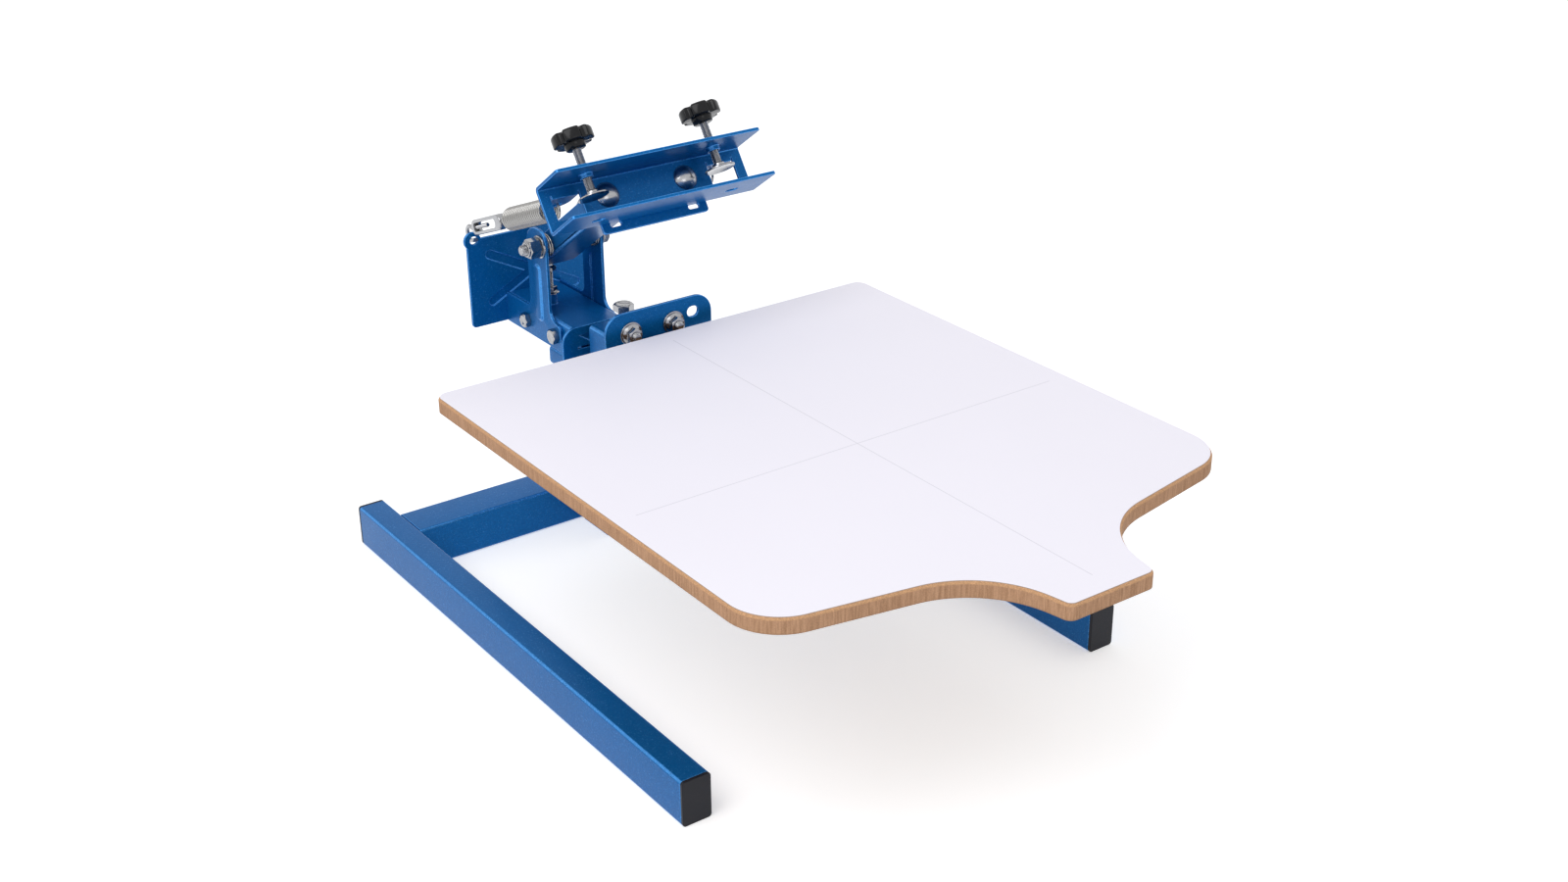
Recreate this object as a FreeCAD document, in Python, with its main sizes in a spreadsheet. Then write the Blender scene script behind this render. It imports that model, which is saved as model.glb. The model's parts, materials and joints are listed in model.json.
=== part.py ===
"""Tabletop press for screen printing, in millimetres.

The part stands on its two legs on the plane Z = 0 and the operator stands towards -Y. Everything is drawn
from the back edge of the board, where Y is zero, and moved as one to the middle of the footprint. The print
head is drawn level about its pivot and then tilted open. Each lifting spring with its turnbuckle is drawn
along -Y from the ear that holds it and then aimed at its lug on the clamp.
"""

import math
import os

import FreeCAD
import Part
import Sketcher

Vector = FreeCAD.Vector
Rotation = FreeCAD.Rotation

SIZES = {
    # Stand
    "board_height": 226.1,
    "leg_gap": 391.8,
    "leg_wide": 26.0,
    "leg_high": 40.0,
    "leg_front": 362.0,
    "leg_back": 195.4,
    "leg_wall": 2.0,
    "leg_round": 3.0,
    "cap_thick": 3.0,
    "cap_plug": 12.0,
    "cross_deep": 43.0,
    "cross_back": 158.9,
    "cross_high": 39.5,
    "column_wide": 50.0,
    "tube_wall": 2.5,
    "tube_round": 5.0,
    "arm_high": 20.0,
    "arm_back": 163.0,
    "arm_front": 300.0,
    "end_thick": 2.0,
    "bracket_back": 85.0,
    "bracket_front": 250.0,
    "bracket_sheet": 2.5,
    # Board
    "board_wide": 450.0,
    "board_long": 570.0,
    "board_core": 12.85,
    "board_skin": 0.8,
    "back_round": 10.0,
    "shoulder_x": 225.0,
    "shoulder_y": 468.0,
    "shoulder_round": 52.0,
    "slant_drop": 37.5,
    "neck_wide": 82.0,
    "neck_round": 46.0,
    "neck_end_round": 6.0,
    "screw_radius": 2.0,
    "screw_head": 4.5,
    "screw_long": 10.0,
    "screw_out": 15.0,
    "screw_rear": 40.0,
    "screw_front": 220.0,
    # Gate behind the board
    "gate_front": 15.0,
    "gate_sheet": 3.0,
    "gate_left": 48.7,
    "gate_right": 64.5,
    "gate_top": 21.0,
    "gate_low": 10.0,
    "gate_round": 18.0,
    "gate_bolt_x": 22.5,
    "gate_bolt_z": 0.5,
    "gate_bolt_radius": 4.0,
    "gate_slot_left": 38.2,
    "gate_slot_right": 50.0,
    "gate_slot_low": 1.0,
    "gate_slot_high": 11.0,
    "backing_half": 38.0,
    "backing_top": 18.0,
    "backing_foot": 28.0,
    "backing_round": 8.0,
    "washer_radius": 11.0,
    "washer_thick": 1.6,
    "gate_nut_flats": 13.0,
    "gate_nut_thick": 8.0,
    "height_bolt_y": 63.0,
    "height_bolt_radius": 5.0,
    "height_bolt_flats": 17.0,
    "height_head_low": 2.0,
    "height_head_thick": 7.0,
    "height_nut_thick": 8.0,
    # Head frame between the board and the springs
    "pedestal_half": 15.0,
    "pedestal_front": 120.0,
    "pedestal_back": 150.0,
    "saddle_top": 25.0,
    "saddle_sheet": 3.0,
    "saddle_front": 108.0,
    "saddle_round": 5.0,
    "side_inner": 28.3,
    "side_sheet": 3.0,
    "side_front": 128.0,
    "side_back": 231.0,
    "side_low": 54.0,
    "side_step": 24.0,
    "post_front": 147.0,
    "post_back": 183.0,
    "post_over": 16.0,
    "post_front_round": 13.0,
    "post_back_round": 18.0,
    "foot_round": 8.0,
    "foot_front_high": 26.0,
    "foot_front_round": 7.0,
    "post_foot_round": 12.0,
    "rib_mid": 165.0,
    "rib_half_wide": 6.5,
    "rib_top": 24.0,
    "rib_low": 33.0,
    "rib_rise": 1.8,
    "rib_slope": 40.0,
    "wall_half": 42.0,
    "wall_top": 22.0,
    "wall_round": 15.0,
    "wall_low": 59.0,
    "recess_half": 24.0,
    "recess_foot": 7.5,
    "recess_top": 30.5,
    "recess_low": 42.0,
    "recess_deep": 1.6,
    "slit_half": 26.0,
    "slit_low": 44.0,
    "side_bolt_front": 138.0,
    "side_bolt_back": 191.0,
    "side_bolt_drop": 40.0,
    "side_bolt_radius": 4.0,
    "side_bolt_flats": 13.0,
    "side_bolt_head": 5.5,
    "side_nut_thick": 6.5,
    "nut_flange": 9.4,
    "nut_skirt": 2.7,
    "rear_half": 69.8,
    "rear_sheet": 3.0,
    "rear_low": 53.5,
    "rear_top": 36.0,
    "rear_round": 4.0,
    "ear_x": 63.3,
    "ear_z": 34.5,
    "ear_round": 9.0,
    "ear_hole_x": 62.0,
    "ear_hole_z": 35.0,
    "ear_hole_radius": 4.0,
    "cross_half": 50.0,
    "cross_rise": 26.0,
    "cross_mid": 6.5,
    "cross_wide": 9.0,
    "cross_press": 1.5,
    "stop_x": 10.5,
    "stop_y": 182.0,
    "stop_radius": 4.0,
    "stop_flats": 13.0,
    "stop_head": 4.3,
    "stop_nut_thick": 6.5,
    "stop_boss_radius": 7.0,
    "stop_boss_high": 11.0,
    # Pivot
    "pivot_y": 157.0,
    "pivot_z": 43.5,
    "pivot_radius": 5.0,
    "pivot_flats": 17.0,
    "pivot_head": 6.4,
    "pivot_washer_thick": 2.0,
    "pivot_nut_thick": 11.7,
    "pivot_collar_thick": 2.0,
    "pivot_collar_radius": 7.5,
    "pivot_tip": 5.0,
    "coil_radius": 10.0,
    "coil_wire": 1.8,
    "coil_pitch": 2.3,
    "sleeve_radius": 7.0,
    # Print head, level, measured from the pivot
    "rest_tilt": 35.0,
    "head_sheet": 3.0,
    "clamp_half": 103.0,
    "clamp_rear": 165.1,
    "clamp_deep": 46.8,
    "clamp_low": 33.0,
    "clamp_top": 11.3,
    "bend_round": 4.5,
    "window_in": 65.0,
    "window_out": 93.0,
    "window_floor": 21.0,
    "window_roof": 1.0,
    "lug_half": 13.0,
    "lug_reach": 26.0,
    "lug_x": 79.0,
    "lug_hole_a": 148.0,
    "lug_hole_radius": 4.5,
    "flange_slot_x": 68.0,
    "flange_slot_half_x": 6.2,
    "flange_slot_half_y": 3.2,
    "flange_end_round": 3.0,
    "arm_half": 21.0,
    "arm_low": 10.5,
    "arm_rim": 13.0,
    "arm_tail": 38.0,
    "arm_tail_round": 10.0,
    "cheek_tail": 14.0,
    "cheek_foot": 23.5,
    "tongue_half": 54.0,
    "tongue_low": 41.0,
    "tongue_round": 3.0,
    "tongue_slot_x": 40.0,
    "tongue_slot_half": 5.5,
    "tongue_slot_low": 3.0,
    "tongue_slot_top": 1.0,
    "clamp_bolt_x": 40.0,
    "clamp_bolt_drop": 8.0,
    "clamp_bolt_radius": 4.0,
    "dome_radius": 11.5,
    "dome_high": 6.3,
    "clamp_nut_flats": 13.0,
    "clamp_nut_thick": 6.5,
    "bolt_past_nut": 2.0,
    # Clamp screws
    "clamp_screw_x": 64.5,
    "clamp_screw_a": 188.0,
    "clamp_screw_radius": 4.0,
    "screw_chamfer": 0.8,
    "collar_radius": 6.2,
    "collar_high": 4.0,
    "disc_top": 10.0,
    "disc_radius": 13.8,
    "disc_sheet": 1.6,
    "disc_dish": 1.2,
    "disc_boss_radius": 5.8,
    "disc_boss_high": 2.6,
    "screw_tip_gap": 0.4,
    "knob_low": 36.0,
    "knob_radius": 18.3,
    "knob_thick": 11.5,
    "knob_notch_radius": 3.8,
    "knob_notch_out": 18.6,
    "knob_turn": 63.0,
    "knob_round": 1.2,
    "knob_hub_radius": 9.5,
    "knob_hub_high": 5.0,
    "knob_blind": 3.0,
    # Springs and turnbuckles, measured from the ear hole along the line of pull
    "line_rise": 11.2,
    "line_drop": 4.5,
    "hook_wire": 2.0,
    "hook_bend": 5.6,
    "hook_lean": 0.97,
    "hook_hump": 2.8,
    "hook_step": 5.2,
    "hook_tip": 9.0,
    "buckle_start": 14.0,
    "buckle_long": 74.0,
    "buckle_half": 7.5,
    "buckle_thick": 8.0,
    "buckle_near_end": 6.0,
    "buckle_far_end": 12.0,
    "buckle_round": 1.5,
    "buckle_slot_half": 4.2,
    "thread_long": 34.0,
    "eye_radius": 5.6,
    "eye_wire": 1.7,
    "spring_wire": 1.25,
    "spring_radius": 9.75,
    "spring_start": 110.0,
    "spring_end": 201.0,
    "spring_loop": 6.5,
    "spring_hook": 8.0,
    # Fits
    "hole_play": 0.5,
    "thread_play": 0.1,
    "pin_play": 0.05,
    "turn_play": 0.3,
    "cut_over": 1.0,
    "panel_gap": 0.3,
}
KNOB_NOTCHES = 5
SPRING_TURNS = 21
LOOP_STEP_ANGLE = 45
SPRING_LOOP_STEPS = 2
SPRING_HOOK_STEPS = 3
PIVOT_TURNS = 2
SLOT_ROUND_SHARE = 0.49
NEARLY_ROUND = 0.98
SAME_PLACE = 1e-4

document = FreeCAD.newDocument("screen_press")
sheet = document.addObject("Spreadsheet::Sheet", "size")
for row, (alias, value) in enumerate(SIZES.items(), start=1):
    sheet.set(f"A{row}", alias)
    sheet.set(f"B{row}", str(value))
    sheet.setAlias(f"B{row}", alias)
document.recompute()


def number(expression):
    """Value of an expression in the sheet's names."""
    return float(sheet.evalExpression(expression))


# Heights and places that follow from the sizes above
BOARD_UNDER = "(size.board_height - size.board_core - size.board_skin)"
ARM_TOP = "(size.board_height - size.wall_low)"
ARM_UNDER = f"({ARM_TOP} - size.arm_high)"
CROSS_FRONT = "(size.cross_back - size.cross_deep)"
BRACKET_TOP = BOARD_UNDER
SADDLE_TOP = "(size.board_height - size.saddle_top)"
PIVOT_HEIGHT = "(size.board_height + size.pivot_z)"
SIDE_OUTER = "(size.side_inner + size.side_sheet)"
BACKING_FRONT = "(size.gate_front + size.gate_sheet)"
CLAMP_FRONT = "(size.clamp_rear + size.clamp_deep)"
LUG_MID = "(size.window_roof - size.head_sheet / 2)"
EAR_PLANE = "(size.side_back + size.rear_sheet / 2)"
EAR_HEIGHT = "(size.board_height + size.ear_hole_z)"
REAR_REACH = (
    f"({EAR_PLANE} + size.rear_sheet / 2 + size.hook_wire * 3 + size.hook_bend + size.hook_lean)"
)
SHIFT = f"((size.board_long - {REAR_REACH}) / 2)"
AXES = {
    "+X": Rotation(Vector(0, 1, 0), 90),
    "-X": Rotation(Vector(0, 1, 0), -90),
    "+Y": Rotation(Vector(1, 0, 0), -90),
    "-Y": Rotation(Vector(1, 0, 0), 90),
    "+Z": Rotation(),
    "-Z": Rotation(Vector(1, 0, 0), 180),
}
parts = []


def finish(item, label):
    """Gives a finished piece its name and lists it for export."""
    item.Label = label
    parts.append(item)
    return item


def seat_on_stand(item):
    """Moves a piece from the board's back edge to the middle of the footprint."""
    item.setExpression("Placement.Base.y", SHIFT)


def seat_on_head(item):
    """Tilts a piece that is drawn level about the pivot and brings it to the pivot."""
    item.Placement = FreeCAD.Placement(Vector(), Rotation(Vector(1, 0, 0), -number("size.rest_tilt")))
    item.setExpression("Placement.Rotation.Angle", "-size.rest_tilt")
    item.setExpression("Placement.Base.y", f"{SHIFT} + size.pivot_y")
    item.setExpression("Placement.Base.z", PIVOT_HEIGHT)


def link_placement(side):
    """Frame of one lifting link: origin in its ear, -Y towards its lug, at rest."""
    tilt = math.radians(number("size.rest_tilt"))
    reach = number("size.lug_hole_a")
    low = number(f"{LUG_MID} - size.line_drop")
    pivot_y = number("size.pivot_y")
    pivot_z = number("size.pivot_z")
    forward = number(EAR_PLANE) - (pivot_y - reach * math.cos(tilt) + low * math.sin(tilt))
    upward = pivot_z + reach * math.sin(tilt) + low * math.cos(tilt) - number("size.ear_hole_z")
    rise = number("size.line_rise")
    angle = math.atan2(upward, forward) - math.asin(rise / math.hypot(upward, forward))
    sideways = number("size.lug_x - size.ear_hole_x")
    yaw = math.degrees(math.atan2(sideways, math.hypot(upward, forward)))
    turn = Rotation(Vector(1, 0, 0), -math.degrees(angle)) * Rotation(Vector(0, 0, 1), side * yaw)
    ear = Vector(side * number("size.ear_hole_x"), number(f"{SHIFT} + {EAR_PLANE}"), number(EAR_HEIGHT))
    return FreeCAD.Placement(ear, turn)


def drawn_corners(outline):
    """Where each side of a rounded outline starts and ends, with the arc at each corner."""
    points = [Vector(number(corner[0]), number(corner[1]), 0) for corner in outline]
    corners = []
    for index, corner in enumerate(outline):
        point = points[index]
        if len(corner) < 3:
            corners.append((point, None, point))
            continue
        back = (points[index - 1] - point).normalize()
        ahead = (points[(index + 1) % len(points)] - point).normalize()
        half = back.getAngle(ahead) / 2
        radius = number(corner[2])
        trim = radius / math.tan(half)
        centre = point + (back + ahead).normalize() * (radius / math.sin(half))
        middle = centre + (point - centre).normalize() * radius
        corners.append((point + back * trim, middle, point + ahead * trim))
    return points, corners


def bind(sketch, kind, places, expression, value):
    """Adds a dimension to a sketch and ties it to the sheet."""
    index = sketch.addConstraint(Sketcher.Constraint(kind, *places, value))
    sketch.setExpression(f"Constraints[{index}]", expression)


def draw_outline(sketch, outline):
    """Draws a closed outline of corners (x, y) or (x, y, radius), each tied to the sheet."""
    points, corners = drawn_corners(outline)
    count = len(outline)
    lines = []
    for index in range(count):
        line = Part.LineSegment(corners[index][2], corners[(index + 1) % count][0])
        lines.append(sketch.addGeometry(line))
    for index, corner in enumerate(outline):
        before = lines[index - 1]
        after = lines[index]
        if len(corner) < 3:
            sketch.addConstraint(Sketcher.Constraint("Coincident", before, 2, after, 1))
            bind(sketch, "DistanceX", (-1, 1, after, 1), corner[0], points[index].x)
            bind(sketch, "DistanceY", (-1, 1, after, 1), corner[1], points[index].y)
            continue
        start, middle, end = corners[index]
        arc = sketch.addGeometry(Part.Arc(start, middle, end))
        tip = sketch.addGeometry(Part.Point(points[index]), True)
        starts_first = (sketch.getPoint(arc, 1) - start).Length < (sketch.getPoint(arc, 1) - end).Length
        near, far = (1, 2) if starts_first else (2, 1)
        sketch.addConstraint(Sketcher.Constraint("Tangent", before, 2, arc, near))
        sketch.addConstraint(Sketcher.Constraint("Tangent", arc, far, after, 1))
        sketch.addConstraint(Sketcher.Constraint("PointOnObject", tip, 1, before))
        sketch.addConstraint(Sketcher.Constraint("PointOnObject", tip, 1, after))
        bind(sketch, "Radius", (arc,), corner[2], number(corner[2]))
        bind(sketch, "DistanceX", (-1, 1, tip, 1), corner[0], points[index].x)
        bind(sketch, "DistanceY", (-1, 1, tip, 1), corner[1], points[index].y)


def draw_circle(sketch, across, up, radius):
    """Draws a circle whose centre and radius are tied to the sheet."""
    centre = Vector(number(across), number(up), 0)
    circle = sketch.addGeometry(Part.Circle(centre, Vector(0, 0, 1), number(radius)))
    bind(sketch, "Radius", (circle,), radius, number(radius))
    bind(sketch, "DistanceX", (-1, 1, circle, 3), across, centre.x)
    bind(sketch, "DistanceY", (-1, 1, circle, 3), up, centre.y)


def new_sketch(body, plane, offset, outlines):
    """Sketch on one of the body's own planes, moved along the plane's normal."""
    sketch = body.newObject("Sketcher::SketchObject", f"{body.Name}_sketch")
    support = [feature for feature in body.Origin.OriginFeatures if feature.Role == plane][0]
    sketch.AttachmentSupport = [(support, "")]
    sketch.MapMode = "FlatFace"
    sketch.setExpression("AttachmentOffset.Base.z", offset)
    for outline in outlines:
        if isinstance(outline[0], str):
            draw_circle(sketch, *outline)
        else:
            draw_outline(sketch, outline)
    return sketch


def pad(body, plane, start, length, *outlines, taper=None):
    """Adds outlines drawn at start and raised by length along the plane's normal.

    The normal is +X for YZ_Plane, -Y for XZ_Plane, whose start is the rear face, and +Z for XY_Plane.
    """
    offset = f"-({start})" if plane == "XZ_Plane" else start
    feature = body.newObject("PartDesign::Pad", f"{body.Name}_pad")
    feature.Profile = new_sketch(body, plane, offset, outlines)
    feature.setExpression("Length", length)
    if taper is not None:
        feature.TaperAngle = taper
    return feature


def pocket(body, plane, start, length, *outlines):
    """Cuts outlines drawn at start through length along the plane's normal."""
    offset = f"-({start})" if plane == "XZ_Plane" else start
    feature = body.newObject("PartDesign::Pocket", f"{body.Name}_pocket")
    feature.Profile = new_sketch(body, plane, offset, outlines)
    feature.setExpression("Length", length)
    feature.Reversed = True
    return feature


def turned(body, outline):
    """Turns an outline of corners (radius, height) about the body's own Z axis."""
    feature = body.newObject("PartDesign::Revolution", f"{body.Name}_turning")
    feature.Profile = new_sketch(body, "XZ_Plane", "0", [outline])
    feature.ReferenceAxis = (feature.Profile[0], ["V_Axis"])
    feature.Angle = 360
    return feature


def new_body(name):
    return document.addObject("PartDesign::Body", name)


def box(left, right, low, high, radius=None):
    """Corners of a rectangle, rounded by radius where one is given."""
    ends = [(left, low), (right, low), (right, high), (left, high)]
    return [end + (radius,) if radius else end for end in ends]


def slot(left, right, low, high):
    """Rectangle with nearly half-round ends."""
    return box(left, right, low, high, f"abs(({high}) - ({low})) * {SLOT_ROUND_SHARE}")


def primitive(kind, lengths, at=("0", "0", "0"), axis="+Z"):
    """Part solid with its lengths and its place tied to the sheet."""
    item = document.addObject(f"Part::{kind}", kind)
    for name, expression in lengths.items():
        item.setExpression(name, expression)
    item.Placement = FreeCAD.Placement(Vector(), AXES[axis])
    for letter, expression in zip("xyz", at):
        item.setExpression(f"Placement.Base.{letter}", expression)
    return item


def rod(radius, height, at, axis):
    return primitive("Cylinder", {"Radius": radius, "Height": height}, at, axis)


def hexagon(flats, height, at, axis):
    """Hexagonal prism of a given width across its flats."""
    item = primitive("Prism", {"Circumradius": f"({flats}) / 2 / cos(30)", "Height": height}, at, axis)
    item.Polygon = 6
    return item


def fused(*items):
    item = document.addObject("Part::MultiFuse", "joined")
    item.Shapes = list(items)
    return item


def cut(base, tool):
    item = document.addObject("Part::Cut", "cut")
    item.Base = base
    item.Tool = tool
    return item


def bored(outer, radius, height, at, axis):
    """A solid with a round hole whose cutter starts at the same place."""
    return cut(outer, rod(radius, height, at, axis))


def group(label, *items):
    """Identical pieces that share one name."""
    item = document.addObject("Part::Compound", label)
    item.Links = list(items)
    return finish(item, label)


def bolt(radius, long, flats, head, at, axis, back):
    """Hex bolt: the shank leaves the face of the head at the given place."""
    return fused(rod(radius, long, at, axis), hexagon(flats, head, at, back))


def frustum(big, small, height, at, axis):
    return primitive("Cone", {"Radius1": big, "Radius2": small, "Height": height}, at, axis)


def flange_nut(flats, thick, bore, at, axis):
    """Hex nut whose face against the sheet spreads into a round flange."""
    skirt = frustum("size.nut_flange", f"({flats}) / 2", "size.nut_skirt", at, axis)
    return bored(fused(hexagon(flats, thick, at, axis), skirt), bore, thick, at, axis)


# Stand
LEG_MID = "(size.leg_gap / 2 + size.leg_wide / 2)"
for name, side in (("left_leg", "-"), ("right_leg", "")):
    leg = new_body(name)
    middle = f"{side}{LEG_MID}"
    outer = box(
        f"{middle} - size.leg_wide / 2",
        f"{middle} + size.leg_wide / 2",
        "0",
        "size.leg_high",
        "size.leg_round",
    )
    inner = box(
        f"{middle} - size.leg_wide / 2 + size.leg_wall",
        f"{middle} + size.leg_wide / 2 - size.leg_wall",
        "size.leg_wall",
        "size.leg_high - size.leg_wall",
        "size.leg_round - size.leg_wall",
    )
    leg_length = "size.leg_back + size.leg_front - 2 * size.cap_thick"
    pad(leg, "XZ_Plane", "size.leg_back - size.cap_thick", leg_length, outer, inner)
    seat_on_stand(finish(leg, name))


def end_cap(side, at_back):
    """Black plug with a flange that closes one end of a leg."""
    middle = f"{side}{LEG_MID}"
    inset = "size.leg_wall + size.turn_play"
    plug = document.addObject("Part::Box", "plug")
    plug.setExpression("Length", f"size.leg_wide - 2 * ({inset})")
    plug.setExpression("Width", "size.cap_plug")
    plug.setExpression("Height", f"size.leg_high - 2 * ({inset})")
    plug.setExpression("Placement.Base.x", f"{middle} - size.leg_wide / 2 + {inset}")
    plug.setExpression("Placement.Base.z", inset)
    flange = document.addObject("Part::Box", "flange")
    flange.setExpression("Length", "size.leg_wide")
    flange.setExpression("Width", "size.cap_thick")
    flange.setExpression("Height", "size.leg_high")
    flange.setExpression("Placement.Base.x", f"{middle} - size.leg_wide / 2")
    if at_back:
        flange.setExpression("Placement.Base.y", "size.leg_back - size.cap_thick")
        plug.setExpression("Placement.Base.y", "size.leg_back - size.cap_thick - size.cap_plug")
    else:
        flange.setExpression("Placement.Base.y", "-size.leg_front")
        plug.setExpression("Placement.Base.y", "-size.leg_front + size.cap_thick")
    rounded = document.addObject("Part::Fillet", "rounded_flange")
    rounded.Base = flange
    radius = number("size.leg_round")
    edges = enumerate(flange_edges(flange), start=1)
    rounded.Edges = [(index, radius, radius) for index, along in edges if along]
    return fused(rounded, plug)


def flange_edges(flange):
    """True for each edge of the flange that runs front to back."""
    document.recompute()
    return [abs(edge.tangentAt(edge.FirstParameter).y) > 0.5 for edge in flange.Shape.Edges]


caps = [end_cap(side, at_back) for side in ("-", "") for at_back in (False, True)]
seat_on_stand(group("leg_end_caps", *caps))

cross_tube = new_body("cross_tube")
cross_outer = box(CROSS_FRONT, "size.cross_back", "0", "size.cross_high", "size.leg_round")
cross_inner = box(
    f"{CROSS_FRONT} + size.leg_wall",
    "size.cross_back - size.leg_wall",
    "size.leg_wall",
    "size.cross_high - size.leg_wall",
    "size.leg_round - size.leg_wall",
)
pad(cross_tube, "YZ_Plane", "-size.leg_gap / 2", "size.leg_gap", cross_outer, cross_inner)
seat_on_stand(finish(cross_tube, "cross_tube"))

column = new_body("column")
column_outer = box(
    "-size.column_wide / 2",
    "size.column_wide / 2",
    f"{CROSS_FRONT} - size.column_wide",
    CROSS_FRONT,
    "size.tube_round",
)
column_inner = box(
    "-size.column_wide / 2 + size.tube_wall",
    "size.column_wide / 2 - size.tube_wall",
    f"{CROSS_FRONT} - size.column_wide + size.tube_wall",
    f"{CROSS_FRONT} - size.tube_wall",
    "size.tube_round - size.tube_wall",
)
pad(column, "XY_Plane", "0", ARM_UNDER, column_outer, column_inner)
seat_on_stand(finish(column, "column"))

pallet_arm = new_body("pallet_arm")
pallet_outer = box(
    "-size.column_wide / 2", "size.column_wide / 2", ARM_UNDER, ARM_TOP, "size.tube_round"
)
pallet_inner = box(
    "-size.column_wide / 2 + size.tube_wall",
    "size.column_wide / 2 - size.tube_wall",
    f"{ARM_UNDER} + size.tube_wall",
    f"{ARM_TOP} - size.tube_wall",
    "size.tube_round - size.tube_wall",
)
pallet_length = "size.arm_back + size.arm_front - 2 * size.end_thick"
pad(pallet_arm, "XZ_Plane", "size.arm_back - size.end_thick", pallet_length, pallet_outer, pallet_inner)
seat_on_stand(finish(pallet_arm, "pallet_arm"))

for name, rear_face in (
    ("arm_rear_plate", "size.arm_back"),
    ("arm_front_plate", "-size.arm_front + size.end_thick"),
):
    end_plate = new_body(name)
    pad(end_plate, "XZ_Plane", rear_face, "size.end_thick", pallet_outer)
    seat_on_stand(finish(end_plate, name))

board_bracket = new_body("board_bracket")
bracket_outer = [
    ("-size.column_wide / 2", ARM_TOP),
    ("-size.column_wide / 2 + size.bracket_sheet", ARM_TOP),
    (
        "-size.column_wide / 2 + size.bracket_sheet",
        f"{BRACKET_TOP} - size.bracket_sheet",
        "size.tube_round - size.bracket_sheet",
    ),
    (
        "size.column_wide / 2 - size.bracket_sheet",
        f"{BRACKET_TOP} - size.bracket_sheet",
        "size.tube_round - size.bracket_sheet",
    ),
    ("size.column_wide / 2 - size.bracket_sheet", ARM_TOP),
    ("size.column_wide / 2", ARM_TOP),
    ("size.column_wide / 2", BRACKET_TOP, "size.tube_round"),
    ("-size.column_wide / 2", BRACKET_TOP, "size.tube_round"),
]
bracket_length = "size.bracket_back + size.bracket_front"
pad(board_bracket, "XZ_Plane", "size.bracket_back", bracket_length, bracket_outer)
screw_places = [
    (f"{side}size.screw_out", f"-size.{row}") for side in ("-", "") for row in ("screw_rear", "screw_front")
]
screw_holes = [(across, along, "size.screw_radius + size.hole_play") for across, along in screw_places]
bolt_hole = ("0", "size.height_bolt_y", "size.height_bolt_radius + size.hole_play")
under_sheet = f"{BRACKET_TOP} - size.bracket_sheet - size.cut_over"
sheet_through = "size.bracket_sheet + 2 * size.cut_over"
pocket(board_bracket, "XY_Plane", under_sheet, sheet_through, *screw_holes, bolt_hole)
seat_on_stand(finish(board_bracket, "board_bracket"))


# Board
def board_outline():
    """Plan of the board: square back, slanted front edge and a short rounded neck."""
    half = "size.board_wide / 2"
    neck = "size.neck_wide / 2"
    shoulder = "-size.shoulder_y"
    throat = "-(size.shoulder_y + size.slant_drop)"
    end = "-size.board_long"
    right = [
        (neck, end, "size.neck_end_round"),
        (neck, throat, "size.neck_round"),
        (half, shoulder, "size.shoulder_round"),
        (half, "0", "size.back_round"),
    ]
    left = [(f"-{across}", along, radius) for across, along, radius in reversed(right)]
    return right + left


board = new_body("pallet_board")
pad(board, "XY_Plane", BOARD_UNDER, "size.board_core", board_outline())
pilot_holes = [(across, along, "size.screw_radius + size.thread_play") for across, along in screw_places]
pocket(board, "XY_Plane", BOARD_UNDER, "size.screw_long + size.cut_over", *pilot_holes)
seat_on_stand(finish(board, "pallet_board"))

skin = new_body("board_laminate")
pad(skin, "XY_Plane", f"{BOARD_UNDER} + size.board_core", "size.board_skin", board_outline())
seat_on_stand(finish(skin, "board_laminate"))

screw_head_top = f"{BRACKET_TOP} - size.bracket_sheet"
board_screws = []
for across, along in screw_places:
    shank = rod(
        "size.screw_radius", "size.screw_long + size.bracket_sheet", (across, along, screw_head_top), "+Z"
    )
    head = frustum(
        "size.screw_head", "size.screw_radius", "size.screw_radius", (across, along, screw_head_top), "-Z"
    )
    board_screws.append(fused(shank, head))
seat_on_stand(group("board_screws", *board_screws))

# Gate that the screen is pushed against, behind the board
gate_bolts_x = ("-size.gate_bolt_x", "size.gate_bolt_x")
GATE_BOLT_HEIGHT = "size.board_height + size.gate_bolt_z"
gate_holes = [(x, GATE_BOLT_HEIGHT, "size.gate_bolt_radius + size.hole_play") for x in gate_bolts_x]
backing = new_body("gate_backing")
backing_face = [
    ("-size.backing_half", BRACKET_TOP),
    ("size.backing_half", BRACKET_TOP),
    ("size.backing_half", "size.board_height + size.backing_top", "size.backing_round"),
    ("-size.backing_half", "size.board_height + size.backing_top", "size.backing_round"),
]
pad(backing, "XZ_Plane", f"{BACKING_FRONT} + size.gate_sheet", "size.gate_sheet", backing_face, *gate_holes)
foot_plan = box(
    "-size.column_wide / 2",
    "size.column_wide / 2",
    BACKING_FRONT,
    f"{BACKING_FRONT} + size.backing_foot",
)
pad(backing, "XY_Plane", BRACKET_TOP, "size.gate_sheet", foot_plan)
seat_on_stand(finish(backing, "gate_backing"))

gate = new_body("gate_plate")
gate_face = [
    ("-size.gate_left", "size.board_height - size.gate_low"),
    ("size.gate_right", "size.board_height - size.gate_low"),
    ("size.gate_right", "size.board_height + size.gate_top", "size.gate_round"),
    ("-size.gate_left", "size.board_height + size.gate_top", "size.gate_round"),
]
gate_slot = slot(
    "size.gate_slot_left",
    "size.gate_slot_right",
    "size.board_height + size.gate_slot_low",
    "size.board_height + size.gate_slot_high",
)
pad(gate, "XZ_Plane", BACKING_FRONT, "size.gate_sheet", gate_face, gate_slot, *gate_holes)
seat_on_stand(finish(gate, "gate_plate"))

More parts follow.
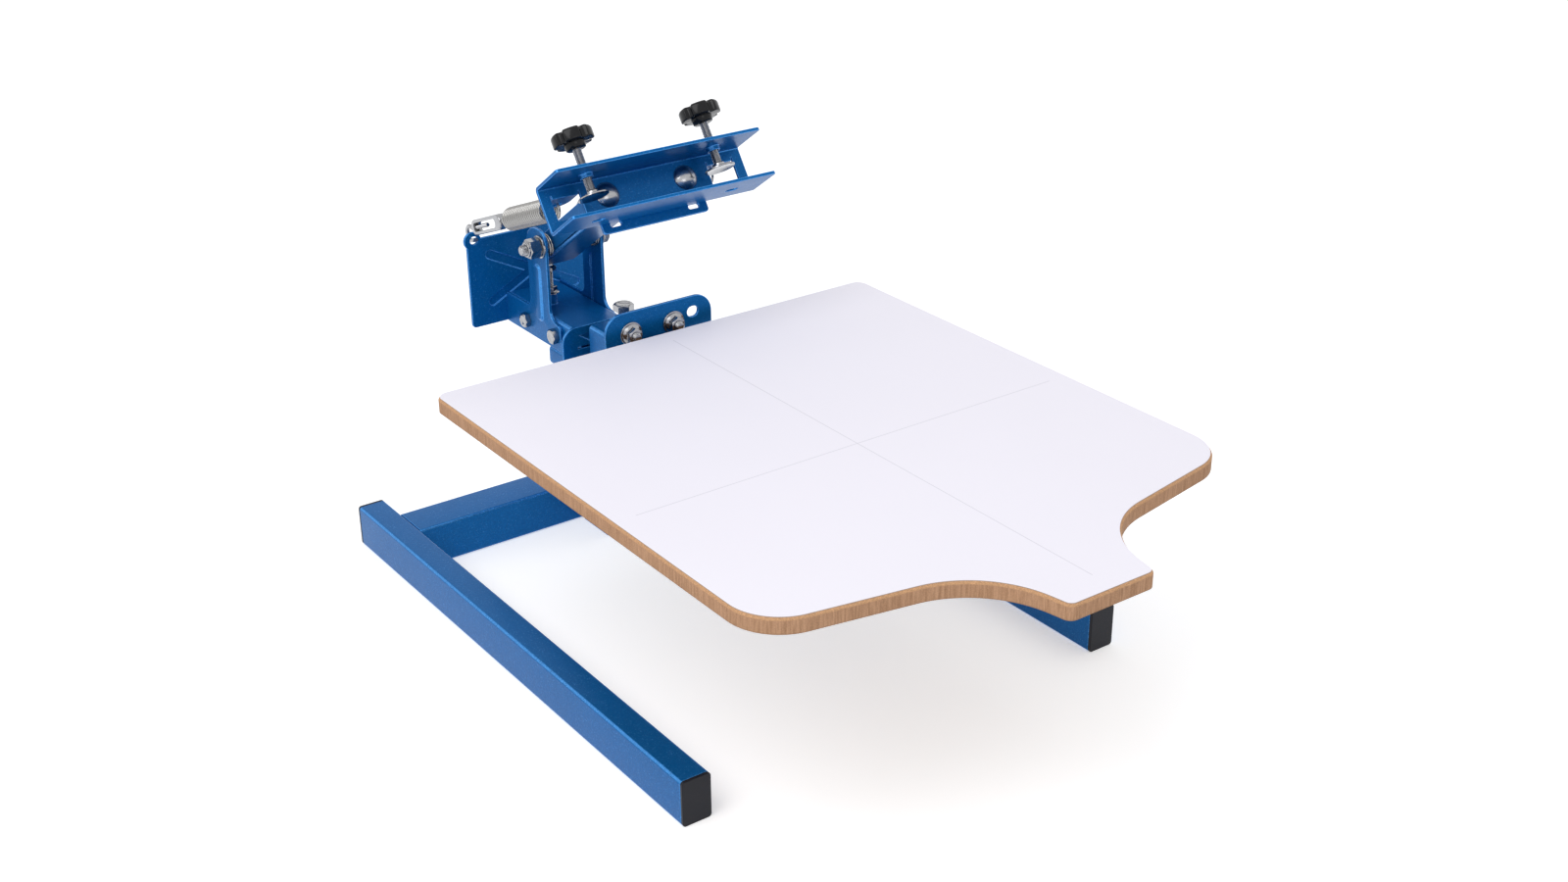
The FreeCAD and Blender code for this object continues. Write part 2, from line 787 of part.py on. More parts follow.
GATE_REAR = f"({BACKING_FRONT} + size.gate_sheet)"
NUT_REAR = "(size.gate_front - size.washer_thick)"
NUT_FRONT = f"({NUT_REAR} - size.gate_nut_thick)"
gate_bolts = []
gate_washers = []
gate_nuts = []
for across in gate_bolts_x:
    shank = rod(
        "size.gate_bolt_radius",
        f"{GATE_REAR} - {NUT_FRONT} + size.bolt_past_nut",
        (across, GATE_REAR, GATE_BOLT_HEIGHT),
        "-Y",
    )
    head = hexagon("size.gate_nut_flats", "size.side_bolt_head", (across, GATE_REAR, GATE_BOLT_HEIGHT), "+Y")
    tip_at = (across, f"{NUT_FRONT} - size.bolt_past_nut", GATE_BOLT_HEIGHT)
    tip = frustum("size.gate_bolt_radius", "size.gate_bolt_radius / 2", "size.bolt_past_nut", tip_at, "-Y")
    gate_bolts.append(fused(shank, head, tip))
    washer_at = (across, "size.gate_front", GATE_BOLT_HEIGHT)
    washer = rod("size.washer_radius", "size.washer_thick", washer_at, "-Y")
    washer_bore = "size.gate_bolt_radius + size.thread_play"
    gate_washers.append(bored(washer, washer_bore, "size.washer_thick", washer_at, "-Y"))
    nut_at = (across, NUT_REAR, GATE_BOLT_HEIGHT)
    gate_nuts.append(flange_nut("size.gate_nut_flats", "size.gate_nut_thick", washer_bore, nut_at, "-Y"))
seat_on_stand(group("gate_bolts", *gate_bolts))
seat_on_stand(group("gate_washers", *gate_washers))
seat_on_stand(group("gate_nuts", *gate_nuts))

head_face = "size.board_height + size.height_head_low"
height_at = ("0", "size.height_bolt_y", head_face)
height_bolt = bolt(
    "size.height_bolt_radius",
    f"{head_face} - {ARM_TOP}",
    "size.height_bolt_flats",
    "size.height_head_thick",
    height_at,
    "-Z",
    "+Z",
)
seat_on_stand(finish(height_bolt, "height_bolt"))
height_nuts = []
for nut_low in (BRACKET_TOP, f"{BRACKET_TOP} - size.bracket_sheet - size.height_nut_thick"):
    nut_at = ("0", "size.height_bolt_y", nut_low)
    nut = hexagon("size.height_bolt_flats", "size.height_nut_thick", nut_at, "+Z")
    nut_bore = "size.height_bolt_radius + size.thread_play"
    height_nuts.append(bored(nut, nut_bore, "size.height_nut_thick", nut_at, "+Z"))
seat_on_stand(group("height_bolt_nuts", *height_nuts))

# Head frame
pedestal = new_body("head_pedestal")
pedestal_outer = box(
    "-size.pedestal_half", "size.pedestal_half", "size.pedestal_front", "size.pedestal_back", "size.leg_round"
)
pedestal_inner = box(
    "-size.pedestal_half + size.leg_wall",
    "size.pedestal_half - size.leg_wall",
    "size.pedestal_front + size.leg_wall",
    "size.pedestal_back - size.leg_wall",
    "size.leg_round - size.leg_wall",
)
pedestal_high = f"{SADDLE_TOP} - size.saddle_sheet - {ARM_TOP}"
pad(pedestal, "XY_Plane", ARM_TOP, pedestal_high, pedestal_outer, pedestal_inner)
seat_on_stand(finish(pedestal, "head_pedestal"))

saddle = new_body("head_saddle")
SADDLE_LOW = "(size.board_height - size.side_low)"
saddle_section = [
    ("-size.side_inner", SADDLE_LOW),
    ("-size.side_inner + size.saddle_sheet", SADDLE_LOW),
    (
        "-size.side_inner + size.saddle_sheet",
        f"{SADDLE_TOP} - size.saddle_sheet",
        "size.saddle_round - size.saddle_sheet",
    ),
    (
        "size.side_inner - size.saddle_sheet",
        f"{SADDLE_TOP} - size.saddle_sheet",
        "size.saddle_round - size.saddle_sheet",
    ),
    ("size.side_inner - size.saddle_sheet", SADDLE_LOW),
    ("size.side_inner", SADDLE_LOW),
    ("size.side_inner", SADDLE_TOP, "size.saddle_round"),
    ("-size.side_inner", SADDLE_TOP, "size.saddle_round"),
]
pad(saddle, "XZ_Plane", "size.side_back", "size.side_back - size.saddle_front", saddle_section)
SIDE_BOLT_HEIGHT = "size.board_height - size.side_bolt_drop"
side_bolt_rows = ("size.side_bolt_front", "size.side_bolt_back")
side_holes = [(row, SIDE_BOLT_HEIGHT, "size.side_bolt_radius + size.hole_play") for row in side_bolt_rows]
across_start = f"-{SIDE_OUTER} - size.cut_over"
across_long = f"2 * ({SIDE_OUTER} + size.cut_over)"
pocket(saddle, "YZ_Plane", across_start, across_long, *side_holes)
stop_boss = ("-size.stop_x", "size.stop_y", "size.stop_boss_radius")
pad(saddle, "XY_Plane", SADDLE_TOP, "size.stop_boss_high", stop_boss)
stop_hole = ("-size.stop_x", "size.stop_y", "size.stop_radius + size.hole_play")
saddle_under = f"{SADDLE_TOP} - size.saddle_sheet - size.cut_over"
stop_through = "size.saddle_sheet + size.stop_boss_high + 2 * size.cut_over"
pocket(saddle, "XY_Plane", saddle_under, stop_through, stop_hole)
seat_on_stand(finish(saddle, "head_saddle"))

wall = new_body("saddle_front_wall")
wall_face = [
    ("-size.wall_half", ARM_TOP),
    ("size.wall_half", ARM_TOP),
    ("size.wall_half", "size.board_height - size.wall_top", "size.wall_round"),
    ("-size.wall_half", "size.board_height - size.wall_top", "size.wall_round"),
]
pad(wall, "XZ_Plane", "size.saddle_front", "size.saddle_sheet", wall_face)
WALL_FACE = "(size.saddle_front - size.saddle_sheet)"
wall_recess = [
    ("size.recess_half", "size.board_height - size.recess_top"),
    ("size.recess_foot", "size.board_height - size.recess_low"),
    ("-size.recess_foot", "size.board_height - size.recess_low"),
    ("-size.recess_half", "size.board_height - size.recess_top"),
]
recess_start = f"{WALL_FACE} + size.recess_deep"
pocket(wall, "XZ_Plane", recess_start, "size.recess_deep + size.cut_over", wall_recess)
wall_slit = box(
    "-size.slit_half",
    "size.slit_half",
    "size.board_height - size.slit_low",
    "size.board_height - size.recess_low",
)
slit_start = "size.saddle_front + size.cut_over"
pocket(wall, "XZ_Plane", slit_start, "size.saddle_sheet + 2 * size.cut_over", wall_slit)
seat_on_stand(finish(wall, "saddle_front_wall"))


def side_plate(name, side):
    """Upright plate with a step behind the post and a rib pressed outward up the post."""
    plate = new_body(name)
    inner = "size.side_inner" if side > 0 else f"-{SIDE_OUTER}"
    height = "size.board_height"
    outline = [
        ("size.side_front", f"{height} - size.side_low"),
        ("size.side_back", f"{height} - size.side_low"),
        ("size.side_back", f"{height} - size.side_step"),
        ("size.post_back", f"{height} - size.side_step", "size.foot_round"),
        ("size.post_back", f"{PIVOT_HEIGHT} + size.post_over", "size.post_back_round"),
        ("size.post_front", f"{PIVOT_HEIGHT} + size.post_over", "size.post_front_round"),
        ("size.post_front", f"{height} - size.foot_front_high", "size.post_foot_round"),
        ("size.side_front", f"{height} - size.foot_front_high - size.saddle_sheet", "size.foot_front_round"),
    ]
    pivot_hole = ("size.pivot_y", PIVOT_HEIGHT, "size.pivot_radius + size.hole_play")
    pad(plate, "YZ_Plane", inner, "size.side_sheet", outline, pivot_hole, *side_holes)

    def rib(inset):
        half = f"(size.rib_half_wide - ({inset}))"
        outline = box(
            f"size.rib_mid - {half}",
            f"size.rib_mid + {half}",
            f"{height} - size.rib_low + ({inset})",
            f"{height} + size.rib_top - ({inset})",
            f"{half} * {NEARLY_ROUND}",
        )
        return outline

    slope = number("size.rib_slope")
    if side > 0:
        pad(plate, "YZ_Plane", SIDE_OUTER, "size.rib_rise", rib("0"), taper=-slope)
        groove_start = "size.side_inner - size.cut_over"
    else:
        raised = pad(plate, "YZ_Plane", f"-{SIDE_OUTER}", "size.rib_rise", rib("0"), taper=-slope)
        raised.Reversed = True
        groove_start = "-size.side_inner - size.rib_rise"
    pocket(plate, "YZ_Plane", groove_start, "size.rib_rise + size.cut_over", rib("size.rib_rise"))
    seat_on_stand(finish(plate, name))


side_plate("left_side_plate", -1)
side_plate("right_side_plate", 1)

side_bolts = []
side_nuts = []
for sign, outward, inward in (("-", "-X", "+X"), ("", "+X", "-X")):
    for row in side_bolt_rows:
        bolt_at = (f"{sign}{SIDE_OUTER}", row, SIDE_BOLT_HEIGHT)
        long = "size.side_sheet + size.saddle_sheet + size.side_nut_thick + size.bolt_past_nut"
        side_bolts.append(
            bolt(
                "size.side_bolt_radius",
                long,
                "size.side_bolt_flats",
                "size.side_bolt_head",
                bolt_at,
                inward,
                outward,
            )
        )
        nut_at = (f"{sign}(size.side_inner - size.saddle_sheet)", row, SIDE_BOLT_HEIGHT)
        nut = hexagon("size.side_bolt_flats", "size.side_nut_thick", nut_at, inward)
        nut_bore = "size.side_bolt_radius + size.thread_play"
        side_nuts.append(bored(nut, nut_bore, "size.side_nut_thick", nut_at, inward))
seat_on_stand(group("side_plate_bolts", *side_bolts))
seat_on_stand(group("side_plate_nuts", *side_nuts))


def cross_rib(direction, half_wide):
    """Corners of one diagonal rib across the rear plate."""
    along = "hypot(size.cross_half; size.cross_rise)"
    aside_x = f"({half_wide} * size.cross_rise / {along})"
    aside_z = f"({half_wide} * size.cross_half / {along})"
    middle = "(size.board_height - size.cross_mid)"
    rise = f"({direction} * size.cross_rise)"
    radius = f"{half_wide} * 2 * {SLOT_ROUND_SHARE}"
    turn = f"({direction})"
    return [
        (f"-size.cross_half + {turn} * {aside_x}", f"{middle} - {rise} - {aside_z}", radius),
        (f"size.cross_half + {turn} * {aside_x}", f"{middle} + {rise} - {aside_z}", radius),
        (f"size.cross_half - {turn} * {aside_x}", f"{middle} + {rise} + {aside_z}", radius),
        (f"-size.cross_half - {turn} * {aside_x}", f"{middle} - {rise} + {aside_z}", radius),
    ]


rear_plate = new_body("rear_plate")
plate_face = box(
    "-size.rear_half",
    "size.rear_half",
    "size.board_height - size.rear_low",
    "size.board_height + size.rear_top",
    "size.rear_round",
)
rear_face = "size.side_back + size.rear_sheet"
pad(rear_plate, "XZ_Plane", rear_face, "size.rear_sheet", plate_face)
ears = [(f"{sign}size.ear_x", "size.board_height + size.ear_z", "size.ear_round") for sign in ("-", "")]
pad(rear_plate, "XZ_Plane", rear_face, "size.rear_sheet", *ears)
ear_holes = [(f"{sign}size.ear_hole_x", EAR_HEIGHT, "size.ear_hole_radius") for sign in ("-", "")]
ear_cut = "size.rear_sheet + 2 * size.cut_over"
pocket(rear_plate, "XZ_Plane", f"{rear_face} + size.cut_over", ear_cut, *ear_holes)
for direction in ("1", "-1"):
    raised = cross_rib(direction, "(size.cross_wide / 2 + size.cross_press / 2)")
    pad(rear_plate, "XZ_Plane", f"{rear_face} + size.cross_press", "size.cross_press", raised)
    groove = cross_rib(direction, "(size.cross_wide / 2)")
    groove_rear = "size.side_back + size.cross_press"
    pocket(rear_plate, "XZ_Plane", groove_rear, "size.cross_press + size.cut_over", groove)
seat_on_stand(finish(rear_plate, "rear_plate"))

# The stop bolt's head lies just under the lowest edge of the raised arm's tail
TAIL_HEIGHT = (
    f"({PIVOT_HEIGHT} - size.arm_tail * sin(size.rest_tilt) - size.arm_low * cos(size.rest_tilt))"
)
stop_face = f"({TAIL_HEIGHT} - size.panel_gap - size.stop_head)"
stop_at = ("-size.stop_x", "size.stop_y", stop_face)
stop_long = f"{stop_face} - {SADDLE_TOP} + size.saddle_sheet + size.stop_nut_thick + size.bolt_past_nut"
stop_bolt = bolt("size.stop_radius", stop_long, "size.stop_flats", "size.stop_head", stop_at, "-Z", "+Z")
seat_on_stand(finish(stop_bolt, "stop_bolt"))
stop_nuts = []
for nut_face, axis in (
    (f"{SADDLE_TOP} + size.stop_boss_high", "+Z"),
    (f"{SADDLE_TOP} - size.saddle_sheet", "-Z"),
):
    nut_at = ("-size.stop_x", "size.stop_y", nut_face)
    nut_bore = "size.stop_radius + size.thread_play"
    stop_nuts.append(flange_nut("size.stop_flats", "size.stop_nut_thick", nut_bore, nut_at, axis))
seat_on_stand(group("stop_bolt_nuts", *stop_nuts))

# Pivot, all drawn about its own axis
LEFT_WASHER = f"(-{SIDE_OUTER} - size.pivot_washer_thick)"
RIGHT_WASHER = f"({SIDE_OUTER} + size.pivot_washer_thick)"
NUT_END = f"({LEFT_WASHER} - size.pivot_nut_thick)"
COLLAR_END = f"({NUT_END} - size.pivot_collar_thick)"


def on_pivot(across):
    return (across, "size.pivot_y", PIVOT_HEIGHT)


pivot_long = f"{RIGHT_WASHER} - {COLLAR_END} + size.pivot_tip"
pivot_bolt = bolt(
    "size.pivot_radius", pivot_long, "size.pivot_flats", "size.pivot_head", on_pivot(RIGHT_WASHER), "-X", "+X"
)
seat_on_stand(finish(pivot_bolt, "pivot_bolt"))
pivot_bore = "size.pivot_radius + size.thread_play"
nut_body = hexagon("size.pivot_flats", "size.pivot_nut_thick", on_pivot(LEFT_WASHER), "-X")
nut_collar = frustum(
    "size.pivot_collar_radius", "size.pivot_collar_radius", "size.pivot_collar_thick", on_pivot(NUT_END), "-X"
)
nut_whole = fused(nut_body, nut_collar)
nut_deep = "size.pivot_nut_thick + size.pivot_collar_thick"
pivot_nut = bored(nut_whole, pivot_bore, nut_deep, on_pivot(LEFT_WASHER), "-X")
seat_on_stand(finish(pivot_nut, "pivot_nut"))
pivot_washers = []
for sign, outward in (("-", "-X"), ("", "+X")):
    washer_at = on_pivot(f"{sign}{SIDE_OUTER}")
    washer = rod("size.washer_radius", "size.pivot_washer_thick", washer_at, outward)
    pivot_washers.append(bored(washer, pivot_bore, "size.pivot_washer_thick", washer_at, outward))
seat_on_stand(group("pivot_washers", *pivot_washers))


def arc_through(start, heading, end, arriving):
    """Two arcs that leave start along heading and reach end along arriving."""
    chord = end - start
    both = heading + arriving
    slack = 4 - both.dot(both)
    lean = chord.dot(both)
    reach = (math.sqrt(lean * lean + slack * chord.dot(chord)) - lean) / slack
    first = start + heading * reach
    second = end - arriving * reach
    joint = (first + second) / 2
    arcs = []
    for tail, corner, tip in ((start, first, joint), (joint, second, end)):
        middle = (tail + tip) / 2
        inward = middle - corner
        if inward.Length < reach * SAME_PLACE:
            arcs.append(Part.LineSegment(tail, tip).toShape())
            continue
        half_chord = (tip - tail).Length / 2
        radius = half_chord * reach / inward.Length
        far = math.hypot(reach, radius)
        arcs.append(Part.Arc(tail, corner + inward.normalize() * (far - radius), tip).toShape())
    return arcs


def wire_tube(points, headings, radius):
    """One round wire swept along arcs through the points."""
    edges = []
    for index in range(len(points) - 1):
        edges += arc_through(points[index], headings[index], points[index + 1], headings[index + 1])
    path = Part.Wire(edges)
    circle = Part.Wire(Part.Circle(points[0], headings[0], radius).toShape())
    return path.makePipeShell([circle], True, False)


def least_gap(points, wire):
    """Least distance between the wire's surface and itself, away from its own neighbourhood."""
    least = math.inf
    nearby = 3 * wire
    for index, point in enumerate(points):
        travelled = 0.0
        for later in range(index + 1, len(points)):
            travelled += (points[later] - points[later - 1]).Length
            if travelled > nearby:
                least = min(least, (points[later] - point).Length - 2 * wire)
    return least


def helix(radius, pitch, turns, steps, phase=0.0):
    """Points and headings of a helix about the X axis, from the origin towards +X."""
    slope = pitch / (2 * math.pi)
    points = []
    headings = []
    for index in range(int(turns * steps) + 1):
        angle = phase + 2 * math.pi * index / steps
        points.append(Vector(pitch * index / steps, radius * math.cos(angle), radius * math.sin(angle)))
        headings.append(Vector(slope, -radius * math.sin(angle), radius * math.cos(angle)).normalize())
    return points, headings


def pivot_coil(name, side):
    """Short coil between a side plate and the arm, round the pivot bolt."""
    radius = number("size.coil_radius")
    pitch = number("size.coil_pitch")
    wire = number("size.coil_wire / 2")
    points, headings = helix(radius, pitch, PIVOT_TURNS, 4)
    middle = side * number("(size.side_inner + size.arm_half) / 2")
    inner = middle - pitch * PIVOT_TURNS / 2
    centre = Vector(inner, number("size.pivot_y"), number(PIVOT_HEIGHT))
    item = document.addObject("Part::Feature", name)
    item.Shape = wire_tube([point + centre for point in points], headings, wire)
    seat_on_stand(finish(item, name))
    fine_points, fine_headings = helix(radius, pitch, PIVOT_TURNS, 36)
    print(name, "least gap to itself", round(least_gap(fine_points, wire), 2))


pivot_coil("left_pivot_coil", -1)
pivot_coil("right_pivot_coil", 1)

# Print head, drawn level about the pivot, with the operator's side towards -Y
arm = new_body("print_arm")
arm_section = [
    ("-size.arm_half", "-size.arm_low", "size.bend_round"),
    ("size.arm_half", "-size.arm_low", "size.bend_round"),
    ("size.arm_half", "size.arm_rim"),
    ("size.arm_half - size.head_sheet", "size.arm_rim"),
    (
        "size.arm_half - size.head_sheet",
        "-size.arm_low + size.head_sheet",
        "size.bend_round - size.head_sheet",
    ),
    (
        "-size.arm_half + size.head_sheet",
        "-size.arm_low + size.head_sheet",
        "size.bend_round - size.head_sheet",
    ),
    ("-size.arm_half + size.head_sheet", "size.arm_rim"),
    ("-size.arm_half", "size.arm_rim"),
]
ARM_FRONT = "(size.clamp_rear - size.head_sheet)"
pad(arm, "XZ_Plane", "size.arm_tail", f"size.arm_tail + {ARM_FRONT}", arm_section)
tongue = box(
    "-size.tongue_half", "size.tongue_half", "-size.tongue_low", "size.clamp_top", "size.tongue_round"
)
tongue_slots = [
    slot(
        f"{sign}size.tongue_slot_x - size.tongue_slot_half",
        f"{sign}size.tongue_slot_x + size.tongue_slot_half",
        "-size.clamp_low - size.tongue_slot_low",
        "-size.clamp_low + size.tongue_slot_top",
    )
    for sign in ("-", "")
]
clamp_bolt_holes = [
    (f"{sign}size.clamp_bolt_x", "-size.clamp_bolt_drop", "size.clamp_bolt_radius + size.hole_play")
    for sign in ("-", "")
]
pad(arm, "XZ_Plane", f"-{ARM_FRONT}", "size.head_sheet", tongue, *tongue_slots, *clamp_bolt_holes)
cheek_cut = [
    ("size.cheek_tail", "size.arm_rim + size.cut_over"),
    ("size.arm_tail + size.cut_over", "size.arm_rim + size.cut_over"),
    ("size.arm_tail + size.cut_over", "-size.arm_low + size.head_sheet"),
    ("size.cheek_foot", "-size.arm_low + size.head_sheet", "size.arm_tail_round"),
]
cheek_start = "-size.arm_half - size.cut_over"
pocket(arm, "YZ_Plane", cheek_start, "2 * (size.arm_half + size.cut_over)", cheek_cut)
tail_corners = []
for sign in ("-", ""):
    outside = f"{sign}(size.arm_half + size.cut_over)"
    edge = f"{sign}size.arm_half"
    tail_corners.append(
        [
            (f"{sign}(size.arm_half - size.arm_tail_round)", "size.arm_tail"),
            (f"{sign}(size.arm_half - size.arm_tail_round)", "size.arm_tail + size.cut_over"),
            (outside, "size.arm_tail + size.cut_over"),
            (outside, "size.arm_tail - size.arm_tail_round"),
            (edge, "size.arm_tail - size.arm_tail_round"),
            (edge, "size.arm_tail", f"size.arm_tail_round * {NEARLY_ROUND}"),
        ]
    )
pocket(arm, "XY_Plane", "-size.arm_low - size.cut_over", "size.arm_low", *tail_corners)
cheek_hole = ("0", "0", "size.pivot_radius + size.turn_play")
pocket(arm, "YZ_Plane", cheek_start, "2 * (size.arm_half + size.cut_over)", cheek_hole)
seat_on_head(finish(arm, "print_arm"))

sleeve = new_body("pivot_sleeve")
sleeve_half = "(size.arm_half - size.head_sheet - size.panel_gap)"
sleeve_ring = ("0", "0", "size.sleeve_radius")
pad(sleeve, "YZ_Plane", f"-{sleeve_half}", f"2 * {sleeve_half}", sleeve_ring, cheek_hole)
seat_on_head(finish(sleeve, "pivot_sleeve"))

clamp = new_body("screen_clamp")
clamp_section = [
    ("-size.clamp_rear", "-size.clamp_low", "size.bend_round"),
    ("-size.clamp_rear", "size.clamp_top", "size.bend_round"),
    (f"-{CLAMP_FRONT}", "size.clamp_top"),
    (f"-{CLAMP_FRONT}", "size.clamp_top - size.head_sheet"),
    (
        "-size.clamp_rear - size.head_sheet",
        "size.clamp_top - size.head_sheet",
        "size.bend_round - size.head_sheet",
    ),
    (
        "-size.clamp_rear - size.head_sheet",
        "-size.clamp_low + size.head_sheet",
        "size.bend_round - size.head_sheet",
    ),
    (f"-{CLAMP_FRONT}", "-size.clamp_low + size.head_sheet"),
    (f"-{CLAMP_FRONT}", "-size.clamp_low"),
]
pad(clamp, "YZ_Plane", "-size.clamp_half", "2 * size.clamp_half", clamp_section)
lug_plans = []
for sign in ("-", ""):
    middle = f"{sign}size.lug_x"
    tip = "-size.clamp_rear + size.lug_reach"
    lug_plans.append(
        [
            (f"{middle} - size.lug_half", "-size.clamp_rear - size.head_sheet"),
            (f"{middle} + size.lug_half", "-size.clamp_rear - size.head_sheet"),
            (f"{middle} + size.lug_half", tip, f"size.lug_half * {NEARLY_ROUND}"),
            (f"{middle} - size.lug_half", tip, f"size.lug_half * {NEARLY_ROUND}"),
        ]
    )
web_windows = [
    box(
        f"{sign}(size.window_in + size.window_out) / 2 - (size.window_out - size.window_in) / 2",
        f"{sign}(size.window_in + size.window_out) / 2 + (size.window_out - size.window_in) / 2",
        "-size.window_floor",
        "size.window_roof",
    )
    for sign in ("-", "")
]
web_start = "-size.clamp_rear + size.cut_over"
web_through = "size.head_sheet + 2 * size.cut_over"
pocket(clamp, "XZ_Plane", web_start, web_through, *web_windows, *clamp_bolt_holes)
lug_holes = [(f"{sign}size.lug_x", "-size.lug_hole_a", "size.lug_hole_radius") for sign in ("-", "")]
pad(clamp, "XY_Plane", "size.window_roof - size.head_sheet", "size.head_sheet", *lug_plans, *lug_holes)
clamp_screws_x = ("-size.clamp_screw_x", "size.clamp_screw_x")
collar_low = "size.clamp_top - size.head_sheet - size.collar_high"
collar_rings = [(x, "-size.clamp_screw_a", "size.collar_radius") for x in clamp_screws_x]
pad(clamp, "XY_Plane", collar_low, "size.collar_high", *collar_rings)
screw_bores = [(x, "-size.clamp_screw_a", "size.clamp_screw_radius + size.turn_play") for x in clamp_screws_x]
screw_cut_start = f"{collar_low} - size.cut_over"
screw_cut_deep = "size.collar_high + size.head_sheet + 2 * size.cut_over"
pocket(clamp, "XY_Plane", screw_cut_start, screw_cut_deep, *screw_bores)
flange_mid = "(-size.clamp_rear - size.clamp_deep / 2)"
flange_slots = [
    slot(
        f"{sign}size.flange_slot_x - size.flange_slot_half_x",
        f"{sign}size.flange_slot_x + size.flange_slot_half_x",
        f"{flange_mid} - size.flange_slot_half_y",
        f"{flange_mid} + size.flange_slot_half_y",
    )
    for sign in ("-", "")
]
flange_under = "-size.clamp_low - size.cut_over"
pocket(clamp, "XY_Plane", flange_under, web_through, *flange_slots)
flange_corners = []
for sign in ("-", ""):
    end = f"{sign}size.clamp_half"
    inside = f"{sign}(size.clamp_half - size.flange_end_round)"
    past = f"{sign}(size.clamp_half + size.cut_over)"
    flange_corners.append(
        [
            (end, f"-{CLAMP_FRONT}", f"size.flange_end_round * {NEARLY_ROUND}"),
            (end, f"-{CLAMP_FRONT} + size.flange_end_round"),
            (past, f"-{CLAMP_FRONT} + size.flange_end_round"),
            (past, f"-{CLAMP_FRONT} - size.cut_over"),
            (inside, f"-{CLAMP_FRONT} - size.cut_over"),
            (inside, f"-{CLAMP_FRONT}"),
        ]
    )
corner_high = "size.clamp_top + size.clamp_low + 2 * size.cut_over"
pocket(clamp, "XY_Plane", flange_under, corner_high, *flange_corners)
seat_on_head(finish(clamp, "screen_clamp"))

WEB_FRONT = "(-size.clamp_rear - size.head_sheet)"
clamp_bolts = []
clamp_bolt_nuts = []
dome_sphere = "((size.dome_radius ^ 2 + size.dome_high ^ 2) / 2 / size.dome_high)"
for sign in ("-", ""):
    place = (f"{sign}size.clamp_bolt_x", WEB_FRONT, "-size.clamp_bolt_drop")
    shank_long = "2 * size.head_sheet + size.clamp_nut_thick + size.bolt_past_nut"
    shank = rod("size.clamp_bolt_radius", shank_long, place, "+Y")
    dome_at = (place[0], f"{WEB_FRONT} + {dome_sphere} - size.dome_high", place[2])
    dome = primitive("Sphere", {"Radius": dome_sphere}, dome_at, "-Y")
    dome.setExpression("Angle1", f"asin(({dome_sphere} - size.dome_high) / {dome_sphere})")
    clamp_bolts.append(fused(shank, dome))
    nut_at = (place[0], f"-{ARM_FRONT}", place[2])
    nut = hexagon("size.clamp_nut_flats", "size.clamp_nut_thick", nut_at, "+Y")
    nut_bore = "size.clamp_bolt_radius + size.thread_play"
    clamp_bolt_nuts.append(bored(nut, nut_bore, "size.clamp_nut_thick", nut_at, "+Y"))
seat_on_head(group("clamp_bolts", *clamp_bolts))
seat_on_head(group("clamp_bolt_nuts", *clamp_bolt_nuts))

# Clamp screws, each drawn about its own upright axis
SCREW_TIP = "(-size.disc_top + size.screw_tip_gap)"
KNOB_TOP = "(size.knob_low + size.knob_thick)"
HUB_LOW = "(size.knob_low - size.knob_hub_high)"


def seat_on_screw(item, sign):
    seat_on_head(item)
    tilt = "size.rest_tilt"
    item.setExpression("Placement.Base.x", f"{sign}size.clamp_screw_x")
    along_y = f"{SHIFT} + size.pivot_y - size.clamp_screw_a * cos({tilt})"
    item.setExpression("Placement.Base.y", along_y)
    item.setExpression("Placement.Base.z", f"{PIVOT_HEIGHT} + size.clamp_screw_a * sin({tilt})")


def clamp_screw(name, sign):
    """Threaded rod, drawn plain, from inside the knob to the pressure disc."""
    screw = new_body(name)
    screw_end = f"{KNOB_TOP} - size.knob_blind"
    outline = [
        ("0", SCREW_TIP),
        ("size.clamp_screw_radius - size.screw_chamfer", SCREW_TIP),
        ("size.clamp_screw_radius", f"{SCREW_TIP} + size.screw_chamfer"),
        ("size.clamp_screw_radius", screw_end),
        ("0", screw_end),
    ]
    turned(screw, outline)
    seat_on_screw(finish(screw, name), sign)


def knob(name, sign):
    """Star knob of wide lobes between narrow notches, with a round hub below."""
    piece = new_body(name)
    pad(piece, "XY_Plane", "size.knob_low", "size.knob_thick", ("0", "0", "size.knob_radius"))
    notch_start = "size.knob_low - size.cut_over"
    notch_deep = "size.knob_thick + 2 * size.cut_over"
    notch_circle = (
        "size.knob_notch_out * cos(size.knob_turn)",
        "size.knob_notch_out * sin(size.knob_turn)",
        "size.knob_notch_radius",
    )
    notch = pocket(piece, "XY_Plane", notch_start, notch_deep, notch_circle)
    pattern = piece.newObject("PartDesign::PolarPattern", f"{name}_notches")
    pattern.Originals = [notch]
    pattern.Axis = (notch.Profile[0], ["N_Axis"])
    pattern.Angle = 360
    pattern.Occurrences = KNOB_NOTCHES
    piece.Tip = pattern
    document.recompute()
    top = number(KNOB_TOP)
    rim = []
    for index, edge in enumerate(pattern.Shape.Edges, start=1):
        if max(abs(edge.BoundBox.ZMin - top), abs(edge.BoundBox.ZMax - top)) < SAME_PLACE:
            rim.append(f"Edge{index}")
    rounding = piece.newObject("PartDesign::Fillet", f"{name}_rim")
    rounding.Base = (pattern, rim)
    rounding.setExpression("Radius", "size.knob_round")
    pad(piece, "XY_Plane", HUB_LOW, "size.knob_hub_high", ("0", "0", "size.knob_hub_radius"))
    bore_deep = f"{KNOB_TOP} - size.knob_blind - {HUB_LOW} + size.cut_over"
    bore = ("0", "0", "size.clamp_screw_radius + size.pin_play")
    pocket(piece, "XY_Plane", f"{HUB_LOW} - size.cut_over", bore_deep, bore)
    seat_on_screw(finish(piece, name), sign)


